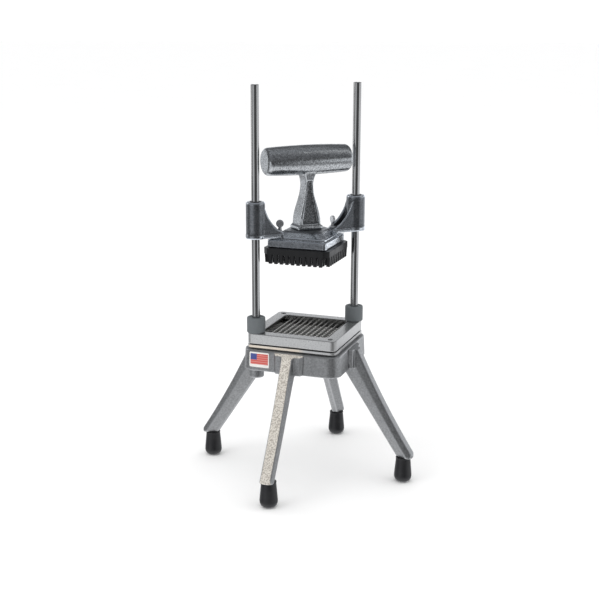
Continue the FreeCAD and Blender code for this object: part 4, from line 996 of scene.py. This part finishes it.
def teeth_tree():
    """Square field of tapered teeth, hanging down, with the four corner ones left out."""
    tree, given, sink = geometry_tree("Pusher Teeth", [
        ("Teeth Each Way", "Int", 12), ("Pitch", "Float", 0.00688), ("Root Width", "Float", 0.0053),
        ("Rounding", "Float", 0.0007), ("Length", "Float", 0.0111), ("Tip Share", "Float", 0.87),
        ("Blunt Share", "Float", 0.84), ("Material", "Material", None)])
    field = add(tree, "GeometryNodeMeshGrid")
    width = times(tree, combine(tree, "SUBTRACT", given["Teeth Each Way"], 1.0), given["Pitch"])
    for label in ("Size X", "Size Y"):
        tree.links.new(width, field.inputs[label])
    for label in ("Vertices X", "Vertices Y"):
        tree.links.new(given["Teeth Each Way"], field.inputs[label])
    spot = parts_of(tree, add(tree, "GeometryNodeInputPosition").outputs[0])
    limit = times(tree, width, 0.49)
    outside = [combine(tree, "GREATER_THAN", size_of(tree, value), limit) for value in spot[:2]]
    kept = combine(tree, "LESS_THAN", times(tree, *outside), 0.5)
    outline = add(tree, "GeometryNodeCurvePrimitiveQuadrilateral")
    for label in ("Width", "Height"):
        tree.links.new(given["Root Width"], outline.inputs[label])
    soft = add(tree, "GeometryNodeFilletCurve", mode="POLY")
    soft.inputs["Count"].default_value = 2
    tree.links.new(outline.outputs[0], soft.inputs["Curve"])
    tree.links.new(given["Rounding"], soft.inputs["Radius"])
    rings = add(tree, "GeometryNodeResampleCurve")
    rings.inputs["Count"].default_value = 3
    tree.links.new(add(tree, "GeometryNodeCurvePrimitiveLine").outputs[0], rings.inputs["Curve"])
    along = add(tree, "GeometryNodeSplineParameter").outputs["Factor"]
    rise = combine(tree, "ADD", times(tree, along, 2 - 2 * TOOTH_SHOULDER), 2 * TOOTH_SHOULDER - 1)
    depth = combine(tree, "MINIMUM", times(tree, along, 2 * TOOTH_SHOULDER), rise)
    spaced = add(tree, "GeometryNodeSetPosition")
    tree.links.new(rings.outputs[0], spaced.inputs["Geometry"])
    tree.links.new(vector_of(tree, z=times(tree, depth, -1.0, given["Length"])), spaced.inputs["Position"])
    sizes = []
    for start, label in ((0.0, "Tip Share"), (0.75, "Blunt Share")):
        part = add(tree, "ShaderNodeMapRange")
        part.inputs["From Min"].default_value = start
        part.inputs["To Min"].default_value = 1.0
        tree.links.new(along, part.inputs["Value"])
        tree.links.new(given[label], part.inputs["To Max"])
        sizes.append(part.outputs[0])
    tooth = add(tree, "GeometryNodeCurveToMesh")
    tooth.inputs["Fill Caps"].default_value = True
    tree.links.new(spaced.outputs[0], tooth.inputs["Curve"])
    tree.links.new(soft.outputs[0], tooth.inputs["Profile Curve"])
    tree.links.new(times(tree, *sizes), tooth.inputs["Scale"])
    copies = add(tree, "GeometryNodeInstanceOnPoints")
    tree.links.new(field.outputs[0], copies.inputs["Points"])
    tree.links.new(kept, copies.inputs["Selection"])
    tree.links.new(tooth.outputs[0], copies.inputs["Instance"])
    end_tree(tree, sink, copies.outputs[0], given["Material"])
    return tree


# The pieces

def rod_places():
    """Centres of the left and right rods, from the frame."""
    places = []
    for side in SIDES:
        low, high = (Vector(corner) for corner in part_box("guide_rod_" + side))
        places.append(((low.x + high.x) / 2, (low.y + high.y) / 2))
    return places


class FRYCUTTER_OT_castings(bpy.types.Operator):
    """Build the handle, the head, the base and the legs as cast pieces"""
    bl_idname = "fry_cutter.castings"
    bl_label = "Castings"

    def execute(self, context):
        chosen = settings().castings
        rounds = chosen.rounding
        base = (chosen.base_voxel, rounds - BASE_FEWER_ROUNDS, "base_metal", "base")
        pieces = [("handle", "handle", chosen.grip_voxel, rounds + GRIP_EXTRA_ROUNDS, "grip_metal", "head"),
                  ("head_casting", "head", chosen.head_voxel, rounds, "head_metal", "head"),
                  ("base_casting", "base", *base)]
        pieces += [("leg_" + side, "leg_" + side + "_strut", *base) for side in LEGS]
        for node, label, voxel, softness, slot_name, body in pieces:
            mesh = cast_mesh(node, voxel, softness)
            finish = finish_for(slot_name)
            # The front leg's outer face and top bevel carry a painted reflection
            if node == "leg_front":
                finish = front_leg_painted_reflection_finish(tuple(chosen.base_tone))
            new_piece(label + "_casting_looks", mesh, finish, body, [node])
        return {"FINISHED"}


class FRYCUTTER_OT_blade_frames(bpy.types.Operator):
    """Build the two milled blade frames"""
    bl_idname = "fry_cutter.blade_frames"
    bl_label = "Blade Frames"

    def execute(self, context):
        finish = finish_for("frame_metal")
        rods = rod_places()
        screws = [(rods[1][0], rods[0][1]), (rods[0][0], rods[1][1])]
        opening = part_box("upper_blades")[1][1] - BLADE_SEAT
        rod_holes = [(x, y, ROD_HOLE) for x, y in rods]
        screw_holes = [(x, y, SCREW_HOLE) for x, y in screws]
        low, high = (Vector(corner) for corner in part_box("blade_frame_upper"))
        upper = milled_ring("upper_frame", high.x, FRAME_CORNER, opening, rod_holes + screw_holes,
                            low.z, high.z, FRAME_EDGE)
        new_piece("upper_blade_frame_looks", upper, finish, "base", ["blade_frame_upper"])
        low, high = (Vector(corner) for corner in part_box("blade_frame_lower"))
        shelf = low.z + LOWER_THICKNESS
        plate = milled_ring("lower_frame", high.x, LOWER_CORNER, opening, rod_holes, low.z, shelf, LOWER_EDGE)
        land = milled_ring("lower_frame_land", high.x - LAND_INSET, FRAME_CORNER, opening, rod_holes,
                           shelf - LAND_OVERLAP, high.z, LAND_EDGE)
        new_piece("lower_blade_frame_looks", plate, finish, "base", ["blade_frame_lower"])
        # The land between the frames is near black: painted shade in the gap
        dark = cast_finish("Land Painted Shade", (0.05, 0.05, 0.052), 0.6, 0.25, 0.0)
        new_piece("lower_blade_frame_land_looks", land, dark, "base")
        return {"FINISHED"}


class FRYCUTTER_OT_blades(bpy.types.Operator):
    """Build the two crossed sets of ground blades"""
    bl_idname = "fry_cutter.blades"
    bl_label = "Blades"

    def execute(self, context):
        chosen = settings().blades
        tree = blade_set_tree()
        finish = finish_for("blade_steel")
        for node, turn in (("upper_blades", 0.0), ("lower_blades", math.pi / 2)):
            low, high = (Vector(corner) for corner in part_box(node))
            length, width = high.y - low.y, high.x - low.x
            bottom, top = low.z, high.z
            if turn:
                length, width = width, length
                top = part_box("upper_blades")[0][2] + BLADE_STEP
            else:
                bottom += BLADE_STEP
            mesh = run_tree(tree, node + "_ground", {
                "Count": chosen.count, "Pitch": (width - chosen.thickness) / (chosen.count - 1),
                "Length": length - BLADE_END_GAP, "Thickness": chosen.thickness, "Height": top - bottom,
                "Edge Height": chosen.edge_height, "Material": finish})
            mesh.transform(Matrix.Translation((0, 0, bottom)) @ Matrix.Rotation(turn, 4, "Z"))
            clean_mesh(mesh)
            new_piece(node + "_looks", mesh, finish, "base", [node])
        return {"FINISHED"}


class FRYCUTTER_OT_pusher(bpy.types.Operator):
    """Build the pusher block with its field of teeth"""
    bl_idname = "fry_cutter.pusher"
    bl_label = "Pusher"

    def execute(self, context):
        chosen = settings().pusher
        finish = finish_for("pusher_plastic")
        low, high = (Vector(corner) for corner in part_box("pusher_block"))
        blades_low, blades_high = (Vector(corner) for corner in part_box("upper_blades"))
        blades = settings().blades
        pitch = (blades_high.x - blades_low.x - blades.thickness) / (blades.count - 1)
        root = high.z - PUSHER_PLATE
        side, end = high.x, high.x - PUSHER_CORNER_CUT
        points = [(side, -end), (side, end), (end, side), (-end, side),
                  (-side, end), (-side, -end), (-end, -side), (end, -side)]
        curve = flat_curve("plate", high.z - root, PUSHER_EDGE)
        spline_ring(curve, points, PUSHER_CORNER, 4)
        plate = plate_mesh("pusher_plate", curve, root, high.z)
        smooth_faces(plate, MILLED_SHARP)
        new_piece("pusher_plate_looks", plate, finish, "head", ["pusher_block"])
        teeth = run_tree(teeth_tree(), "pusher_teeth", {
            "Teeth Each Way": chosen.teeth, "Pitch": pitch, "Root Width": pitch - SLOT_WIDTH,
            "Rounding": chosen.tooth_rounding, "Length": root - low.z + TOOTH_OVERLAP, "Material": finish})
        teeth.transform(Matrix.Translation((0, 0, root + TOOTH_OVERLAP)))
        smooth_faces(teeth, TEETH_SHARP)
        new_piece("pusher_teeth_looks", teeth, finish, "head")
        return {"FINISHED"}


class FRYCUTTER_OT_rods(bpy.types.Operator):
    """Build the two guide rods"""
    bl_idname = "fry_cutter.rods"
    bl_label = "Guide Rods"

    def execute(self, context):
        for side, place in zip(SIDES, rod_places()):
            low, high = (Vector(corner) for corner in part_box("guide_rod_" + side))
            radius = (high.x - low.x) / 2
            profile = [(0, low.z), (radius, low.z), (radius, high.z - ROD_END_EDGE),
                       (radius - ROD_END_EDGE / 4, high.z - ROD_END_EDGE / 3),
                       (radius - ROD_END_EDGE, high.z), (0, high.z)]
            turned_piece("guide_rod_" + side, profile, place, "rod_steel")
        return {"FINISHED"}


class FRYCUTTER_OT_rubber(bpy.types.Operator):
    """Build the rubber bumpers and the rubber feet"""
    bl_idname = "fry_cutter.rubber"
    bl_label = "Rubber"

    def execute(self, context):
        for side, place in zip(SIDES, rod_places()):
            low, high = (Vector(corner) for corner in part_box("bumper_" + side))
            outer = (high.x - low.x) / 2
            profile = [(BUMPER_BORE, low.z), (outer - BUMPER_EDGE, low.z), (outer, low.z + BUMPER_EDGE),
                       (outer, high.z - BUMPER_EDGE), (outer - BUMPER_EDGE, high.z), (DISH_RADIUS, high.z),
                       (DISH_RADIUS - DISH_DEPTH, high.z - DISH_DEPTH), (BUMPER_BORE, high.z - DISH_DEPTH)]
            turned_piece("bumper_" + side, rounded_profile(profile, BUMPER_EDGE), place, "bumper_rubber")
        for side in LEGS:
            low, high = (Vector(corner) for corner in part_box("foot_" + side))
            middle = (low + high) / 2
            profile = [(radius * MM, height * MM) for radius, height in FOOT_OUTLINE]
            profile = rounded_profile(profile, FOOT_ROUNDING, 3) + [(FOOT_BORE, FOOT_FLOOR), (0, FOOT_FLOOR)]
            turned_piece("foot_" + side, profile, (middle.x, middle.y), "foot_rubber")
        return {"FINISHED"}


class FRYCUTTER_OT_thumb_screws(bpy.types.Operator):
    """Build the two thumb screws with their rounded paddles"""
    bl_idname = "fry_cutter.thumb_screws"
    bl_label = "Thumb Screws"

    def execute(self, context):
        for side in SIDES:
            node = "thumb_screw_" + side
            mesh = cast_mesh(node, PADDLE_VOXEL, PADDLE_ROUNDS)
            new_piece(node + "_looks", mesh, finish_for("paddle_metal"), node, [node])
        return {"FINISHED"}


class FRYCUTTER_OT_label(bpy.types.Operator):
    """Build the printed label on the front of the base"""
    bl_idname = "fry_cutter.label"
    bl_label = "Label"

    def execute(self, context):
        low, high = (Vector(corner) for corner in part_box("label_plate"))
        mesh = frame_copy("label_plate")
        smooth_faces(mesh, LABEL_SHARP)
        new_piece("label_looks", mesh, label_finish(low, high), "base", ["label_plate"])
        return {"FINISHED"}


class FRYCUTTER_OT_small_metal(bpy.types.Operator):
    """Finish the screws, washers, inserts and bushings, which keep their frame shapes"""
    bl_idname = "fry_cutter.small_metal"
    bl_label = "Screws and Bushings"

    def execute(self, context):
        for node in ("leg_screws", "rod_bolts", "rod_washers", "handle_screws"):
            dress_node(node, finish_for("screw_steel"))
        # The blade frame screws are near black: painted shade in their holes
        screw_painted_shade = drawn_finish("Screw Steel Painted Shade", (0.07, 0.07, 0.075), 0.34, 1800.0, 1800.0)
        dress_node("blade_frame_screws", screw_painted_shade)
        dress_node("pusher_inserts", finish_for("insert_brass"))
        for side in SIDES:
            for end in ("lower", "upper"):
                dress_node("bushing_" + side + "_" + end, finish_for("bearing_plastic"))
        return {"FINISHED"}


def look_rotation(back, roll):
    """Camera turn whose -Z axis looks against the given direction."""
    across = Vector((-back.y, back.x, 0)).normalized()
    upward = back.cross(across)
    turn = Matrix((across, upward, back)).transposed()
    return (turn @ Matrix.Rotation(roll, 3, "Z")).to_euler()


class FRYCUTTER_OT_stage(bpy.types.Operator):
    """Build the floor, the lights, the surroundings and the camera"""
    bl_idname = "fry_cutter.stage"
    bl_label = "Stage"

    def execute(self, context):
        chosen = settings().stage
        floor_mesh = bpy.data.meshes.new("floor")
        worker = bmesh.new()
        bmesh.ops.create_circle(worker, cap_ends=True, segments=TURNED_STEPS, radius=FLOOR_RADIUS)
        worker.to_mesh(floor_mesh)
        worker.free()
        floor = link(bpy.data.objects.new("floor", floor_mesh))
        material, tree, shader = start_finish("Pale Floor With Painted Shade", 0.0)
        place = add(tree, "ShaderNodeTexCoord").outputs["Object"]
        reach = add(tree, "ShaderNodeVectorMath", operation="LENGTH")
        tree.links.new(place, reach.inputs[0])
        clouds = remap(tree, noise(tree, place, 3.0), 0.3, 0.7, -0.006, 0.006)
        # The floor is painted darker close to the object, as painted shade
        tone = combine(tree, "ADD", remap(tree, reach.outputs["Value"], 0.2, 1.0, 0.9, 0.975), clouds)
        shader.inputs["Specular IOR Level"].default_value = 0.2
        mixed = add(tree, "ShaderNodeCombineColor")
        for label in ("Red", "Green", "Blue"):
            tree.links.new(tone, mixed.inputs[label])
        tree.links.new(mixed.outputs[0], shader.inputs["Base Color"])
        shader.inputs["Roughness"].default_value = 0.75
        floor_mesh.materials.append(material)
        floor.visible_glossy = False

        self.make_lights(chosen)
        self.make_world(chosen)
        self.make_camera(chosen)
        context.scene.view_settings.view_transform = "Standard"
        return {"FINISHED"}

    def make_lights(self, chosen):
        """Soft lamps; metal mirrors only those that are marked for it."""
        for name, place, width, height, share, mirrored in LAMPS:
            light = bpy.data.lights.new(name, "AREA")
            light.shape = "RECTANGLE"
            light.size = width
            light.size_y = height
            light.energy = chosen.key_power * share
            lamp = link(bpy.data.objects.new(name, light))
            lamp.location = place
            lamp.rotation_euler = (Vector(LAMP_TARGET) - Vector(place)).to_track_quat("-Z", "Y").to_euler()
            lamp.visible_glossy = mirrored

    def make_world(self, chosen):
        """White for the eye and the shade; metal mirrors a studio of bright panels and dark gaps."""
        world = bpy.data.worlds.new("Studio")
        bpy.context.scene.world = world
        world.use_nodes = True
        tree = world.node_tree
        plain = tree.nodes["Background"]
        plain.inputs["Color"].default_value = (1, 1, 1, 1)
        plain.inputs["Strength"].default_value = chosen.white_strength
        x, y, z = parts_of(tree, add(tree, "ShaderNodeTexCoord").outputs["Generated"])
        around = remap(tree, combine(tree, "ARCTAN2", y, x), -math.pi, math.pi, 0, 1)
        bands = (STEEP_BAND, FLOOR_BAND, HORIZON_BAND, CEILING_BAND, ZENITH_BAND)
        steep, floor, horizon, ceiling, zenith = (remap(tree, z, *band, 0, 1) for band in bands)
        near_floor = mix(tree, steep, STEEP_FLOOR, self.wall_ring(tree, around, NEAR_FLOOR))
        lower = mix(tree, floor, near_floor, self.wall_ring(tree, around, LOW_WALLS))
        upper = mix(tree, ceiling, self.wall_ring(tree, around, HIGH_WALLS), CEILING)
        upper = mix(tree, zenith, upper, ZENITH)
        walls = add(tree, "ShaderNodeBackground")
        tree.links.new(mix(tree, horizon, lower, upper), walls.inputs["Color"])
        choice = add(tree, "ShaderNodeMixShader")
        tree.links.new(add(tree, "ShaderNodeLightPath").outputs["Is Glossy Ray"], choice.inputs[0])
        tree.links.new(plain.outputs[0], choice.inputs[1])
        mirrored = walls if chosen.surroundings == "STUDIO" else plain
        tree.links.new(mirrored.outputs[0], choice.inputs[2])
        tree.links.new(choice.outputs[0], tree.nodes["World Output"].inputs["Surface"])

    def wall_ring(self, tree, around, panels):
        """Brightness of the walls round the compass, from (degrees, brightness) pairs."""
        ramp = add(tree, "ShaderNodeValToRGB")
        stops = ramp.color_ramp.elements
        for index, (degrees, brightness) in enumerate(panels):
            position = degrees / 360 + 0.5
            stop = stops[index] if index < 2 else stops.new(position)
            stop.position = position
            stop.color = (brightness * 0.98, brightness, brightness * 1.03, 1)
        tree.links.new(around, ramp.inputs[0])
        return ramp.outputs[0]

    def make_camera(self, chosen):
        """Camera at the photograph's place and angle."""
        data = bpy.data.cameras.new("Camera")
        data.sensor_width = SENSOR_WIDTH
        data.lens = SENSOR_WIDTH * FOCAL_PIXELS / PICTURE_WIDTH
        data.clip_start, data.clip_end = 0.05, 100
        camera = link(bpy.data.objects.new("Camera", data))
        azimuth, elevation = chosen.camera_azimuth, chosen.camera_elevation
        back = Vector((math.sin(azimuth) * math.cos(elevation), -math.cos(azimuth) * math.cos(elevation),
                       math.sin(elevation)))
        camera.location = CAMERA_PLACE
        camera.rotation_euler = look_rotation(back, math.radians(CAMERA_ROLL))
        bpy.context.scene.camera = camera


OPERATORS = (FRYCUTTER_OT_castings, FRYCUTTER_OT_blade_frames, FRYCUTTER_OT_blades, FRYCUTTER_OT_pusher,
             FRYCUTTER_OT_rods, FRYCUTTER_OT_rubber, FRYCUTTER_OT_thumb_screws, FRYCUTTER_OT_label,
             FRYCUTTER_OT_small_metal, FRYCUTTER_OT_stage)


class FryCutterSettings(bpy.types.PropertyGroup):
    castings: PointerProperty(
        type=CastingSettings, name="Castings", description="Handle, head, base and legs")
    blades: PointerProperty(type=BladeSettings, name="Blades", description="Blades and their frames")
    pusher: PointerProperty(type=PusherSettings, name="Pusher", description="Toothed block")
    rubber: PointerProperty(type=RubberSettings, name="Rubber", description="Bumpers and feet")
    stage: PointerProperty(type=StageSettings, name="Stage", description="Camera, light and floor")


class FRYCUTTER_PT_panel(bpy.types.Panel):
    """Settings and steps of the french fry cutter"""
    bl_idname = "FRYCUTTER_PT_panel"
    bl_label = "French Fry Cutter"
    bl_space_type = "VIEW_3D"
    bl_region_type = "UI"
    bl_category = "Fry Cutter"

    def draw(self, context):
        layout = self.layout
        chosen = context.scene.fry_cutter
        for group in (chosen.castings, chosen.blades, chosen.pusher, chosen.rubber, chosen.stage):
            box = layout.box()
            for name in group.bl_rna.properties.keys():
                if name not in ("rna_type", "name"):
                    box.prop(group, name)
        for operator in OPERATORS:
            layout.operator(operator.bl_idname)


CLASSES = (CastingSettings, BladeSettings, PusherSettings, RubberSettings, StageSettings, FryCutterSettings,
           *OPERATORS, FRYCUTTER_PT_panel)


def register():
    for item in CLASSES:
        bpy.utils.register_class(item)
    bpy.types.Scene.fry_cutter = PointerProperty(type=FryCutterSettings)


def unregister():
    del bpy.types.Scene.fry_cutter
    for item in reversed(CLASSES):
        bpy.utils.unregister_class(item)


def main():
    register()
    for operator in OPERATORS:
        group, name = operator.bl_idname.split(".")
        getattr(getattr(bpy.ops, group), name)()


if __name__ == "__main__":
    main()
